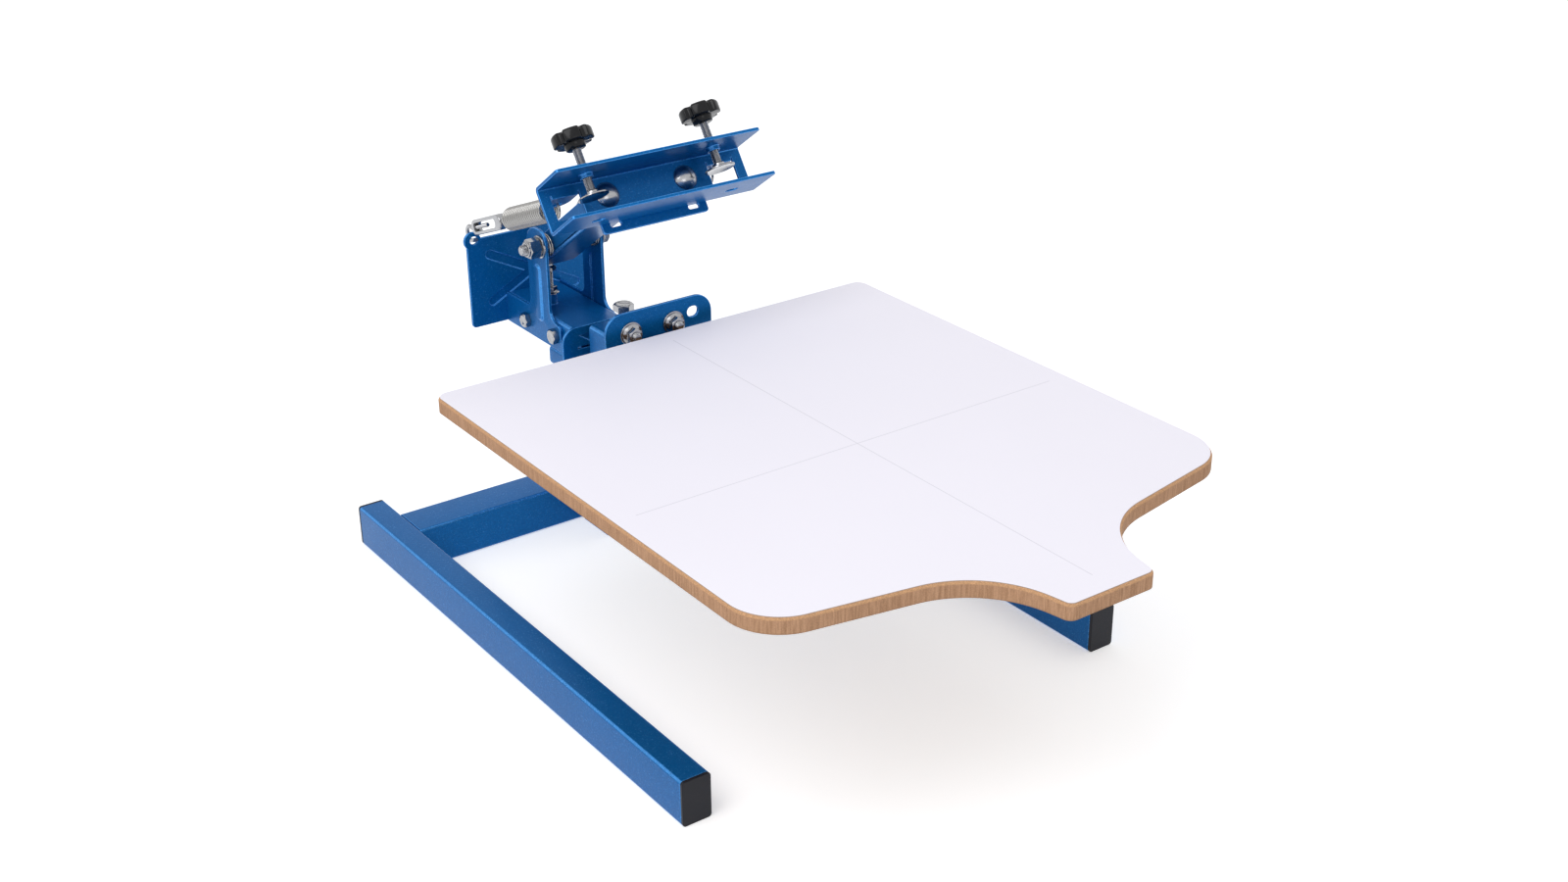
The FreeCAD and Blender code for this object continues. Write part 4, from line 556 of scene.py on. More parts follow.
class Recipe:
    """A node material under construction."""

    def __init__(self, name):
        self.material = bpy.data.materials.new(name)
        self.material.use_nodes = True
        self.tree = self.material.node_tree
        self.shader = self.tree.nodes["Principled BSDF"]
        self.place = self.node("ShaderNodeTexCoord", {}, "Object")

    def node(self, kind, inputs, output=0, **settings):
        """Adds a node, sets it up, fills its sockets and returns one output."""
        item = self.tree.nodes.new(kind)
        for name, setting in settings.items():
            setattr(item, name, setting)
        for name, given in inputs.items():
            self.feed(item.inputs[name], given)
        return Value(self, item.outputs[output])

    def feed(self, socket, given):
        """Links a value or a socket to the socket, or writes a constant into it."""
        if isinstance(given, Value):
            self.tree.links.new(given.socket, socket)
        elif isinstance(given, bpy.types.NodeSocket):
            self.tree.links.new(given, socket)
        else:
            socket.default_value = given

    def scaled(self, x, y, z):
        """Object coordinates stretched by a factor along each axis."""
        return self.node("ShaderNodeMapping", {"Vector": self.place, "Scale": (x, y, z)})

    def axes(self):
        """The object coordinates x, y and z as numbers."""
        return [self.node("ShaderNodeSeparateXYZ", {0: self.place}, axis) for axis in "XYZ"]

    def noise(self, scale, detail=3.0, rough=0.5, where=None):
        """Smooth random numbers between 0 and 1."""
        inputs = {"Vector": where or self.place, "Scale": scale, "Detail": detail, "Roughness": rough}
        return self.node("ShaderNodeTexNoise", inputs)

    def cells(self, scale, output="Distance"):
        """Voronoi cells: their distance, or a random colour for each."""
        return self.node("ShaderNodeTexVoronoi", {"Vector": self.place, "Scale": scale}, output)

    def blend(self, factor, first, second):
        """Mixes two colours."""
        first, second = ((*given, 1.0) if isinstance(given, tuple) else given for given in (first, second))
        return self.node("ShaderNodeMix", {0: factor, 6: first, 7: second}, 2, data_type="RGBA")

    def bump(self, height, strength, distance):
        """Tilts the surface by a height."""
        inputs = {"Height": height, "Strength": strength, "Distance": distance}
        self.feed(self.shader.inputs["Normal"], self.node("ShaderNodeBump", inputs))

    def colour(self, name):
        """A colour that the finish's properties give."""
        return tuple(getattr(bpy.context.scene.press_finish, name))

    def set(self, **sockets):
        """Feeds the shader's sockets by name."""
        for name, given in sockets.items():
            self.feed(self.shader.inputs[name.replace("_", " ")], given)


MATERIALS = {}


def finish(name):
    """Each material is made once, by the function of the same name."""
    if name not in MATERIALS:
        make, _ = FINISHES[name]
        MATERIALS[name] = make(name)
    return MATERIALS[name]


def shade(color, share):
    """The colour made lighter or darker by a share."""
    return tuple(min(max(channel * share, 0.0), 1.0) for channel in color)


def powder_coat(name):
    """Glossy blue powder coat with a fine bright fleck under a clear, slightly rippled top."""
    recipe = Recipe(name)
    paint = recipe.colour("paint")
    sparkle = recipe.cells(1100.0, "Color") ** 9.0
    cloud = recipe.noise(9.0, 2.0)
    tone = recipe.blend(cloud, shade(paint, 0.82), shade(paint, 1.12))
    grains = recipe.noise(1900.0, 1.0).above(0.55, 0.16)
    base = recipe.blend(grains * 0.5, tone, shade(paint, 1.75))
    base = recipe.blend(sparkle * bpy.context.scene.press_finish.fleck, base, (0.10, 0.36, 0.80))
    recipe.bump(recipe.noise(420.0, 2.0) * 0.7 + recipe.noise(1700.0, 1.0) * 0.3, 0.2, 0.0006)
    recipe.set(Base_Color=base, Roughness=recipe.noise(90.0, 2.0) * 0.1 + 0.26, Metallic=0.35)
    recipe.set(Coat_Weight=0.05, Coat_Roughness=0.12, Specular_IOR_Level=0.12)
    return recipe.material


def painted_edge(name):
    """Painted highlight: the same coat in a brighter blue on the rounded edges and slanted faces, standing in
    for the light that they catch.
    """
    recipe = Recipe(name)
    bright = recipe.colour("highlight_blue")
    base = recipe.blend(recipe.noise(260.0, 2.0), shade(bright, 0.7), shade(bright, 1.25))
    recipe.set(Base_Color=base, Roughness=recipe.noise(300.0, 2.0) * 0.1 + 0.22, Metallic=0.5)
    return recipe.material


def zinc_plate(name):
    """Bright zinc: slightly uneven, with faint tumbling marks and duller spots."""
    recipe = Recipe(name)
    tint = recipe.colour("plating")
    cloud = recipe.noise(260.0, 3.0)
    spots = recipe.noise(700.0, 2.0).above(0.62, 0.1)
    base = recipe.blend(cloud, shade(tint, 0.88), shade(tint, 1.14))
    base = recipe.blend(spots * 0.25, base, shade(tint, 0.6))
    recipe.bump(recipe.noise(900.0, 2.0), 0.02, 0.0002)
    recipe.set(Base_Color=base, Roughness=cloud * 0.1 + spots * 0.08 + 0.1, Metallic=1.0)
    return recipe.material


def bright_dome(name):
    """Polished zinc of the bolt heads, with a few fine scuffs."""
    recipe = Recipe(name)
    tint = recipe.colour("plating")
    scuffs = recipe.noise(500.0, 4.0, where=recipe.scaled(1, 7, 1))
    base = recipe.blend(scuffs, shade(tint, 0.9), shade(tint, 1.35))
    recipe.bump(scuffs, 0.05, 0.0002)
    recipe.set(Base_Color=base, Roughness=scuffs * 0.14 + 0.16, Metallic=1.0)
    return recipe.material


def spring_wire(name):
    """Drawn steel wire: bright, with fine drawing lines and a warmer tint."""
    recipe = Recipe(name)
    cloud = recipe.noise(300.0, 3.0)
    lines = recipe.noise(2400.0, 2.0, where=recipe.scaled(1, 0.15, 1))
    base = recipe.blend(cloud, (0.30, 0.295, 0.285), (0.38, 0.375, 0.365))
    recipe.bump(lines, 0.03, 0.0002)
    recipe.set(Base_Color=base, Roughness=lines * 0.12 + 0.14, Metallic=1.0)
    return recipe.material


def black_knob(name):
    """Moulded black plastic with a high gloss and faint flow marks."""
    recipe = Recipe(name)
    flow = recipe.noise(120.0, 2.0)
    fine = recipe.noise(1500.0, 2.0)
    black = recipe.colour("black")
    base = recipe.blend(flow, shade(black, 0.7), shade(black, 1.8))
    recipe.bump(flow * 0.6 + fine * 0.4, 0.08, 0.0003)
    recipe.set(Base_Color=base, Roughness=fine * 0.08 + 0.12, Specular_IOR_Level=0.22)
    return recipe.material


def black_cap(name):
    """Black plastic end caps with a fine moulded grain."""
    recipe = Recipe(name)
    grain = recipe.cells(2200.0)
    cloud = recipe.noise(60.0, 2.0)
    base = recipe.blend(cloud, (0.004, 0.005, 0.009), (0.010, 0.011, 0.018))
    recipe.bump(grain, 0.3, 0.0002)
    recipe.set(Base_Color=base, Roughness=cloud * 0.12 + 0.34, Specular_IOR_Level=0.25)
    return recipe.material


def fibreboard(name):
    """Cut edge of pressed fibreboard: a paler rounded rim over a redder cut with upright saw marks."""
    recipe = Recipe(name)
    fibre = recipe.colour("fibre")
    _, _, height = recipe.axes()
    fibres = recipe.noise(900.0, 5.0, 0.65, where=recipe.scaled(1, 1, 3))
    saw = recipe.noise(800.0, 3.0, 0.6, where=recipe.scaled(1, 1, 0.06))
    base = recipe.blend(fibres.above(0.5, 0.4), shade(fibre, 0.62), shade(fibre, 1.55))
    cut = recipe.blend(saw.above(0.5, 0.3), (0.24, 0.125, 0.075), (0.50, 0.295, 0.19))
    below = ((BOARD_TOP - ROUNDED_LAYER) - height).above(0.0, 0.0008)
    base = recipe.blend(below * 0.6, base, cut)
    # Darker towards the bottom of the cut edge
    low = ((BOARD_TOP - BOTTOM_DARK_BAND) - height).above(0.0, 0.0012)
    base = recipe.blend(low * 0.5, base, shade(fibre, 0.45))
    recipe.bump(fibres * 0.6 + saw * 0.4, 0.5, 0.0006)
    recipe.set(Base_Color=base, Roughness=0.78, Specular_IOR_Level=0.2)
    return recipe.material


def white_laminate(name):
    """White laminate face with two thin printed guide lines that cross."""
    recipe = Recipe(name)
    face = recipe.colour("laminate")
    across, along, height = recipe.axes()
    half = bpy.context.scene.press_sizes.lines / 2
    long_line = (half - abs(across)).above(0.0, LINE_SOFT)
    from_middle = abs(along - (BOARD_BACK - LONG_LINE_MIDDLE))
    long_line = long_line * (LONG_LINE_HALF - from_middle).above(0.0, LINE_SOFT)
    wide_line = (half - abs(along - (BOARD_BACK - LINES_CROSS))).above(0.0, LINE_SOFT)
    wide_line = wide_line * (WIDE_LINE_HALF - abs(across)).above(0.0, LINE_SOFT)
    lines = long_line.math("MAXIMUM", wide_line) * height.above(BOARD_TOP - 0.0004, 0.0002)
    cloud = recipe.noise(6.0, 2.0)
    base = recipe.blend(cloud, shade(face, 0.985), shade(face, 1.01))
    base = recipe.blend(lines * 0.55, base, (0.56, 0.54, 0.60))
    rim = (BOARD_TOP - 0.0003 - height).above(0.0, 0.0002)
    base = recipe.blend(rim * 0.8, base, (0.30, 0.21, 0.14))
    recipe.bump(recipe.noise(1100.0, 2.0), 0.05, 0.0002)
    recipe.set(Base_Color=base, Roughness=recipe.noise(40.0, 2.0) * 0.08 + 0.4, Specular_IOR_Level=0.12)
    return recipe.material


# Each finish with the function that makes it and its slot
FINISHES = {
    "powder_coat": (powder_coat, "blue_paint"),
    # Painted highlight for the rounded edges
    "painted_edge": (painted_edge, "blue_paint"),
    "zinc_plate": (zinc_plate, "zinc_plate"),
    "bright_dome": (bright_dome, "zinc_plate"),
    "spring_wire": (spring_wire, "spring_wire"),
    "black_knob": (black_knob, "black_knob"),
    "black_cap": (black_cap, "black_cap"),
    "fibreboard": (fibreboard, "fibreboard"),
    "white_laminate": (white_laminate, "white_laminate"),
}

AXIS_TURNS = {
    "+Z": np.eye(3),
    "-Z": np.diag([1.0, -1.0, -1.0]),
    "+X": np.array(Matrix.Rotation(math.pi / 2, 3, "Y")),
    "-X": np.array(Matrix.Rotation(-math.pi / 2, 3, "Y")),
    "+Y": np.array(Matrix.Rotation(-math.pi / 2, 3, "X")),
    "-Y": np.array(Matrix.Rotation(math.pi / 2, 3, "X")),
}


def on_board(x, y, z):
    """A place measured from the middle of the board's back edge at its top face, in millimetres."""
    return np.array([x * MM, BOARD_BACK + y * MM, BOARD_TOP + z * MM])


def seated(shape, place, axis="+Z"):
    """A shape drawn about Z in millimetres, set on the board's frame with Z turned to an axis."""
    return moved(shape, AXIS_TURNS[axis], on_board(*place), MM)


def head_seated(shape, place, axis="+Z"):
    """A shape drawn about Z in millimetres, set on the level head about the pivot and tilted open with it."""
    level = moved(shape, AXIS_TURNS[axis], np.array(place, float) * MM, MM)
    return moved(level, HEAD_TURN, PIVOT)


def lug_from_ear(tilt):
    """How far the clamp's lug lies forward of the ear and above it, with the head tilted."""
    forward = EAR_Y - PIVOT_Y + LUG_REACH * math.cos(tilt) - LUG_DROP * math.sin(tilt)
    upward = PIVOT_Z - EAR_Z + LUG_REACH * math.sin(tilt) + LUG_DROP * math.cos(tilt)
    return forward, upward


def link_frame(side):
    """Turn and place of a lifting link: its origin in the ear and -Y towards the lug."""
    forward, upward = lug_from_ear(REST_TILT)
    far = math.hypot(upward, forward)
    angle = math.atan2(upward, forward) - math.asin(LINE_RISE / far)
    yaw = side * math.atan2(LUG_X - EAR_X, far)
    turn = Matrix.Rotation(-angle, 3, "X") @ Matrix.Rotation(yaw, 3, "Z")
    return np.array(turn), on_board(side * EAR_X, EAR_Y, EAR_Z)


def link_seated(shape, side):
    """A shape drawn along -Y in the link's frame in millimetres, set on its link."""
    turn, place = link_frame(side)
    return moved(shape, turn, place, MM)


def link_length():
    """Distance along the line of pull from the ear to the lug at the middle of the travel."""
    reaches = [math.hypot(*lug_from_ear(tilt), LUG_X - EAR_X) for tilt in (0.0, REST_TILT)]
    return sum(math.sqrt(reach**2 - LINE_RISE**2) for reach in reaches) / 2


def flange_nut(flats, thick, bore, spread=9.4, skirt=2.7):
    """Hex nut on a round skirt: two profiles turned about Z, the upper one cut to a hexagon."""
    foot = [[bore, 0], [spread - 0.3, 0], [spread, 0.3], [spread - 0.1, 0.8], [flats / 2, skirt]]
    foot.append([bore, skirt])
    return together([hex_body(flats, 0.6, thick, bore, chamfer_low=False), lathe(foot, 56, closed=True)])


def nylon_nut(flats, thick, collar, collar_high, bore):
    """Lock nut: a hexagon with a round, rolled collar on top."""
    rise = thick + collar_high
    ring = [[bore, thick - 0.5], [collar, thick - 0.5]]
    ring += arc_points((collar - 1.0, rise - 1.0), 1.0, 0, 90, 5).tolist()
    ring += [[bore + 0.6, rise], [bore, rise - 0.6]]
    return together([hex_body(flats, 0, thick, bore), lathe(ring, 56, closed=True)])


def domed_head(radius, high, rim=0.35, steps=14):
    """Low dome: a sphere's cap, r^2 + (z + s - h)^2 = s^2, above a thin rounded rim."""
    sphere = (radius**2 + (high - rim) ** 2) / 2 / (high - rim)
    start = math.degrees(math.asin((sphere - high + rim) / sphere))
    cap = arc_points((0, high - sphere), sphere, start, 90, steps)
    return lathe([[0, 0], [radius - 0.2, 0], [radius, 0.15], *cap.tolist()], 64)


def bolt_head(flats, thick):
    """Hex head with a washer face below and a shallow round dish in its top."""
    face = flats / 2 * 0.93
    ring = [[0, 0], [face, 0], [face, 0.5], [0, 0.5]]
    dish = flats * 0.3
    corner = flats / 2 / math.cos(math.pi / 6)
    edge = flats / 2 * HEX_CHAMFER_SHARE
    rows = [[0, 0.4], [corner, 0.4]]
    rows += [[r, thick - (r - edge) * HEX_SLOPE] for r in np.linspace(corner, edge, 7)]
    rows += [[dish, thick], [dish - 0.5, thick - 0.25], [0, thick - 0.25]]
    return together([lathe(rows, 72, hexagon(flats)), lathe(ring)])


def lobed(angle):
    """Radius of the star knob at an angle: the circle, or where the ray meets a notch, then smoothed.

    A ray at the angle p from a notch's middle meets it at d cos p - sqrt(n^2 - d^2 sin^2 p).
    """
    period = 2 * math.pi / KNOB_LOBES
    from_notch = (angle - math.radians(KNOB_TURN) + period / 2) % period - period / 2
    inside = KNOB_NOTCH**2 - (KNOB_NOTCH_OUT * np.sin(from_notch)) ** 2
    entry = KNOB_NOTCH_OUT * np.cos(from_notch) - np.sqrt(np.maximum(inside, 0))
    plain = np.where(inside > 0, np.minimum(entry, KNOB_RADIUS), KNOB_RADIUS)
    reach = np.arange(-4, 5)
    weight = np.exp(-((reach / KNOB_SMOOTHING) ** 2))
    soft = sum(np.roll(plain, shift) * share for shift, share in zip(reach, weight)) / weight.sum()
    return np.minimum(soft, plain + 0.25)


def star_knob():
    """Lobed body whose outline shrinks by a quarter circle towards its faces, on a tapered hub."""
    angle = np.arange(KNOB_COLUMNS) * 2 * math.pi / KNOB_COLUMNS
    outline = lobed(angle)
    low, top = KNOB_LOW_ROUND, KNOB_TOP_ROUND
    rows = [(0.0, 1.0, KNOB_LOW)]
    turn = np.radians(np.linspace(-90, 0, 6))
    rows += [(1.0, low * (1 - math.cos(t)), KNOB_LOW + low * (1 + math.sin(t))) for t in turn]
    turn = np.radians(np.linspace(0, 90, 8))
    rows += [(1.0, top * (1 - math.cos(t)), KNOB_TOP - 0.5 - top * (1 - math.sin(t))) for t in turn]
    rows += [(share, top, KNOB_TOP - drop) for share, drop in ((0.78, 0.2), (0.55, 0.05), (0.3, 0), (0.0, 0))]
    rings = []
    for share, inset, high in rows:
        inner = outline - inset
        round_radius = outline.mean() - inset
        radius = inner if share > 0.99 else inner * share * share + round_radius * share * (1 - share)
        radius = np.maximum(radius, 0) if share else np.zeros(KNOB_COLUMNS)
        level = np.full(KNOB_COLUMNS, high)
        rings.append(np.stack([radius * np.cos(angle), radius * np.sin(angle), level], -1))
    foot = KNOB_LOW - KNOB_HUB_LONG
    inside = KNOB_LOW + 0.5
    low, top = KNOB_HUB_LOW, KNOB_HUB_TOP
    hub = [[0, foot], [low, foot], [low + 0.7, foot + 0.5], [top, inside], [0, inside]]
    return together([grid(np.array(rings)), lathe(hub, 56)])


def arc(tail, corner, tip, steps=10):
    """Points on the circle's arc that leaves and reaches its ends along the lines to the corner.

    It is the rational curve ((1-t)^2 A + 2 w t (1-t) B + t^2 C) / ((1-t)^2 + 2 w t (1-t) + t^2).
    """
    reach = np.linalg.norm(corner - tail)
    weight = np.linalg.norm(tip - tail) / 2 / reach
    t = np.linspace(0, 1, steps)[:, None]
    below = (1 - t) ** 2 + 2 * weight * t * (1 - t) + t**2
    return ((1 - t) ** 2 * tail + 2 * weight * t * (1 - t) * corner + t**2 * tip) / below


def bend(start, heading, end, arriving):
    """Two arcs that leave start along heading and reach end along arriving."""
    start, heading, end, arriving = (np.array(item, float) for item in (start, heading, end, arriving))
    chord = end - start
    both = heading + arriving
    slack = 4 - both @ both
    lean = chord @ both
    reach = (math.sqrt(lean * lean + slack * (chord @ chord)) - lean) / slack
    first = start + heading * reach
    second = end - arriving * reach
    joint = (first + second) / 2
    return np.concatenate([arc(start, first, joint)[:-1], arc(joint, second, end)])


def hook_path():
    """Centre line of the hook: level, over the ear, down behind it and forward through its hole."""
    crest = HOOK_CREST
    climb = 2 * math.atan2(HOOK_HUMP / 2, HOOK_STEP)
    level = (0, 1, 0)
    uphill = (0, math.cos(climb), math.sin(climb))
    foot = (0, crest - 2 * HOOK_STEP, LINE_RISE)
    shoulder = (0, crest - HOOK_STEP, LINE_RISE + HOOK_HUMP / 2)
    top = (0, crest, LINE_RISE + HOOK_HUMP)
    rear = (0, HOOK_BEHIND + HOOK_BEND, (LINE_RISE + HOOK_HUMP) / 2)
    hole = (0, HOOK_BEHIND, 0)
    runs = [
        np.array([(0, -BUCKLE_START + HOOK_OVERLAP, LINE_RISE), foot]),
        bend(foot, level, shoulder, uphill)[1:],
        bend(shoulder, uphill, top, level)[1:],
        bend(top, level, rear, (0, 0, -1))[1:],
        bend(rear, (0, 0, -1), hole, (0, -1, 0))[1:],
        np.array([(0, -HOOK_TIP, 0)]),
    ]
    return resampled(np.concatenate(runs), PATH_STEP)


def spring_path(steps=8):
    """Centre line of the spring: x = r sin a, y = -(start + pitch a / 2 pi), z = rise + r cos a.

    At each end is a loop of five eighths of a circle, level in the eye and upright in the lug.
    """
    rear = BUCKLE_START + BUCKLE_LONG + 2 * EYE_RADIUS + HOOK_WIRE - EYE_WIRE - SPRING_WIRE - SPRING_SEAT_GAP
    angle = np.radians(45) * np.arange(-3 * steps, 2 * steps + 1) / steps
    first = np.stack([
        SPRING_LOOP * np.sin(angle), -rear - SPRING_LOOP * (1 - np.cos(angle)), LINE_RISE + 0 * angle
    ], -1)
    count = np.arange(steps, 4 * SPRING_TURNS * steps + 1)
    angle = math.pi / 2 * count / steps
    along = SPRING_START + (SPRING_END - SPRING_START) / SPRING_TURNS * count / (4 * steps)
    coil = np.stack([SPRING_RADIUS * np.sin(angle), -along, LINE_RISE + SPRING_RADIUS * np.cos(angle)], -1)
    angle = np.radians(45) * np.arange(2 * steps, -3 * steps - 1, -1) / steps
    last = np.stack([
        0 * angle, -link_length() + SPRING_HOOK * (1 - np.cos(angle)), LINE_RISE + SPRING_HOOK * np.sin(angle)
    ], -1)
    lead_in = bend(first[-1], (0, -1, 0), coil[0], unit(coil[1] - coil[0]))
    lead_out = bend(coil[-1], unit(coil[-1] - coil[-2]), last[0], (0, -1, 0))
    return np.concatenate([first[:-1], lead_in, coil[1:-1], lead_out, last[1:]])


def board_face():
    """Closed outline of the board's white face: straight runs joined by arcs, mirrored about the middle."""
    side = BOARD_HALF - RIM
    front = BOARD_LONG - RIM
    rounded = (
        (0, RIM, 0), (side, RIM, BACK_ROUND), (side, SHOULDER_Y, SHOULDER_ROUND),
        (THROAT_X, THROAT_Y, THROAT_ROUND), (TONGUE_HALF, front, TONGUE_ROUND), (0, front, 0),
    )
    corners = [np.array([x, -y]) for x, y, _ in rounded]
    half = [corners[:1]]
    for before, corner, after, (_, _, radius) in zip(corners, corners[1:], corners[2:], rounded[1:]):
        back = unit(before - corner)
        ahead = unit(after - corner)
        reach = radius / math.tan(math.acos(back @ ahead) / 2)
        half.append(arc(corner + back * reach, corner, corner + ahead * reach, CORNER_STEPS))
    half = np.concatenate(half + [corners[-1:]])
    return np.concatenate([half, half[-2:0:-1] * (-1, 1)])


def slab(outline, profile):
    """Plate with a shaped rim: at each height the outline lies the profile's offset out along its normal."""
    ahead = np.roll(outline, -1, 0) - outline
    ahead /= np.linalg.norm(ahead, axis=1)[:, None]
    tangent = ahead + np.roll(ahead, 1, 0)
    tangent /= np.linalg.norm(tangent, axis=1)[:, None]
    outward = np.stack([-tangent[:, 1], tangent[:, 0]], -1)
    rings = []
    for offset, high in profile:
        ring = outline + outward * offset
        rings.append(np.concatenate([ring, np.full((len(ring), 1), high)], 1))
    shape = grid(np.array(rings))
    count = len(outline)
    last = count * (len(profile) - 1)
    return shape, (range(count), range(last + count - 1, last - 1, -1))


PAINTED_SHEET = (
    "board_bracket", "gate_backing", "gate_plate", "saddle_front_wall", "head_saddle",
    "left_side_plate", "right_side_plate", "rear_plate", "print_arm", "screen_clamp",
)
PAINTED_TUBE = (
    "left_leg", "right_leg", "cross_tube", "column", "pallet_arm", "head_pedestal", "arm_rear_plate",
    "arm_front_plate",
)


class PRESS_OT_sheet_metal(bpy.types.Operator):
    """Rounds and paints the head, the arm, the clamp and the gate"""

    bl_idname = "press.sheet_metal"
    bl_label = "Painted sheet metal"

    def execute(self, context):
        sizes = context.scene.press_sizes
        for node in PAINTED_SHEET:
            # Rounded edges and slanted faces take a painted highlight
            softened(node, "powder_coat", sizes.edge, highlight_look="painted_edge")
        return {"FINISHED"}


class PRESS_OT_stand(bpy.types.Operator):
    """Paints the stand's tubes and dresses their end caps"""

    bl_idname = "press.stand"
    bl_label = "Stand"

    def execute(self, context):
        sizes = context.scene.press_sizes
        for node in PAINTED_TUBE:
            # Rounded edges and slanted faces take a painted highlight
            softened(node, "powder_coat", sizes.tube_edge, highlight_look="painted_edge")
        softened("leg_end_caps", "black_cap", sizes.cap_edge, 3)
        return {"FINISHED"}


class PRESS_OT_board(bpy.types.Operator):
    """Dresses the board's core and its laminate"""

    bl_idname = "press.board"
    bl_label = "Board"

    def execute(self, context):
        outline = board_face()
        core = [(RIM - BOARD_LOW_EDGE, BOARD_LOW), (RIM, BOARD_LOW + BOARD_LOW_EDGE)]
        core += [(RIM - inset, -SKIN - drop) for inset, drop in RIM_ROUNDING]
        skin = [(0.0, -SKIN), (0.0, -SKIN_EDGE), (-SKIN_EDGE, 0.0)]
        layers = (("pallet_board", core, "fibreboard"), ("board_laminate", skin, "white_laminate"))
        for node, profile, look in layers:
            shape, caps = slab(outline, profile)
            piece(node, [seated(shape, (0, 0, 0))], look, caps=caps)
        dress("board_screws", "zinc_plate")
        return {"FINISHED"}


class PRESS_OT_gate_fasteners(bpy.types.Operator):
    """Threads, washers and flange nuts of the gate, and the upright bolt behind it"""

    bl_idname = "press.gate_fasteners"
    bl_label = "Gate fasteners"

    def execute(self, context):
        bolts = []
        washers = []
        nuts = []
        washer = ring_body(M8_BORE, WASHER_RADIUS, 0, GATE_WASHER, 0.35)
        for x in (-GATE_BOLT_X, GATE_BOLT_X):
            rear = (x, GATE_REAR, GATE_BOLT_Z)
            bolts.append(seated(thread(M8, M8_PITCH, 0, GATE_BOLT_LONG), rear, "-Y"))
            bolts.append(seated(bolt_head(M8_FLATS, M8_HEAD), rear, "+Y"))
            washers.append(seated(washer, (x, GATE_FRONT, GATE_BOLT_Z), "-Y"))
            nut = flange_nut(M8_FLATS, M8_FLANGE_NUT, M8_BORE)
            nuts.append(seated(nut, (x, GATE_FRONT - GATE_WASHER, GATE_BOLT_Z), "-Y"))
        piece("gate_bolts", bolts)
        piece("gate_washers", washers)
        piece("gate_nuts", nuts)

        seat = (0, HEIGHT_BOLT_Y, HEIGHT_HEAD_Z)
        head = seated(bolt_head(M10_FLATS, M10_HEAD), seat)
        shank = seated(thread(M10, M10_PITCH, 0, HEIGHT_BOLT_LONG), seat, "-Z")
        piece("height_bolt", [head, shank])
        low, high = (corner.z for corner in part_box("height_bolt_nuts"))
        nut = hex_body(M10_FLATS, 0, M10_NUT, M10_BORE)
        rises = [(base - BOARD_TOP) / MM for base in (low, high - M10_NUT * MM)]
        shapes = [seated(nut, (0, HEIGHT_BOLT_Y, rise)) for rise in rises]
        piece("height_bolt_nuts", shapes)
        return {"FINISHED"}


class PRESS_OT_head_fasteners(bpy.types.Operator):
    """Bolts of the side plates, the stop bolt, the pivot and the clamp's domed bolts"""

    bl_idname = "press.head_fasteners"
    bl_label = "Head fasteners"

    def execute(self, context):
        heads = []
        nuts = []
        nut = hex_body(M8_FLATS, 0, M8_NUT, M8_BORE)
        for side, out, inward in ((-1, "-X", "+X"), (1, "+X", "-X")):
            for y in SIDE_BOLT_ROWS:
                seat = (side * SIDE_OUTER, y, SIDE_BOLT_Z)
                heads.append(seated(bolt_head(M8_FLATS, M8_HEAD), seat, out))
                heads.append(seated(thread(M8, M8_PITCH, 0, M8_SHORT), seat, inward))
                nuts.append(seated(nut, (side * SIDE_INNER, y, SIDE_BOLT_Z), inward))
        piece("side_plate_bolts", heads)
        piece("side_plate_nuts", nuts)

        low, high = (corner.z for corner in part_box("stop_bolt"))
        top = (high - BOARD_TOP) / MM - STOP_HEAD
        seat = (STOP_X, STOP_Y, top)
        head = seated(bolt_head(M8_FLATS, STOP_HEAD), seat)
        shank = seated(thread(M8, M8_PITCH, 0, top - (low - BOARD_TOP) / MM), seat, "-Z")
        piece("stop_bolt", [head, shank])
        locknut = flange_nut(M8_FLATS, M8_NUT, M8_BORE)
        seats = ((STOP_NUT_HIGH, "+Z"), (STOP_NUT_LOW, "-Z"))
        shapes = [seated(locknut, (STOP_X, STOP_Y, z), axis) for z, axis in seats]
        piece("stop_bolt_nuts", shapes)

        washer_x = SIDE_OUTER + PIVOT_WASHER
        place = (washer_x, PIVOT_Y, PIVOT_Z)
        plain = [[0, 0], [M10, 0], [M10, PIVOT_SHANK], [0, PIVOT_SHANK]]
        shapes = [
            seated(bolt_head(M10_FLATS, PIVOT_HEAD), place, "+X"),
            seated(lathe(plain), place, "-X"),
            seated(thread(M10, M10_PITCH, PIVOT_SHANK, PIVOT_LONG), place, "-X"),
        ]
        piece("pivot_bolt", shapes)
        lock = nylon_nut(M10_FLATS, PIVOT_NUT, PIVOT_COLLAR, PIVOT_COLLAR_HIGH, M10_BORE)
        piece("pivot_nut", [seated(lock, (-washer_x, PIVOT_Y, PIVOT_Z), "-X")])
        washer = ring_body(M10_BORE, WASHER_RADIUS, 0, PIVOT_WASHER, 0.4)
        shapes = [seated(washer, (s * SIDE_OUTER, PIVOT_Y, PIVOT_Z), a) for s, a in ((-1, "-X"), (1, "+X"))]
        piece("pivot_washers", shapes)
        dress("pivot_sleeve", "zinc_plate")

        domes = []
        nuts = []
        for x in (-CLAMP_BOLT_X, CLAMP_BOLT_X):
            front = (x, -WEB_FRONT, -CLAMP_BOLT_DROP)
            domes.append(head_seated(domed_head(DOME_RADIUS, DOME_HIGH), front, "-Y"))
            domes.append(head_seated(thread(M8, M8_PITCH, 0, M8_SHORT), front, "+Y"))
            nuts.append(head_seated(nut, (x, -WEB_REAR, -CLAMP_BOLT_DROP), "+Y"))
        piece("clamp_bolts", domes, "bright_dome")
        piece("clamp_bolt_nuts", nuts)
        return {"FINISHED"}


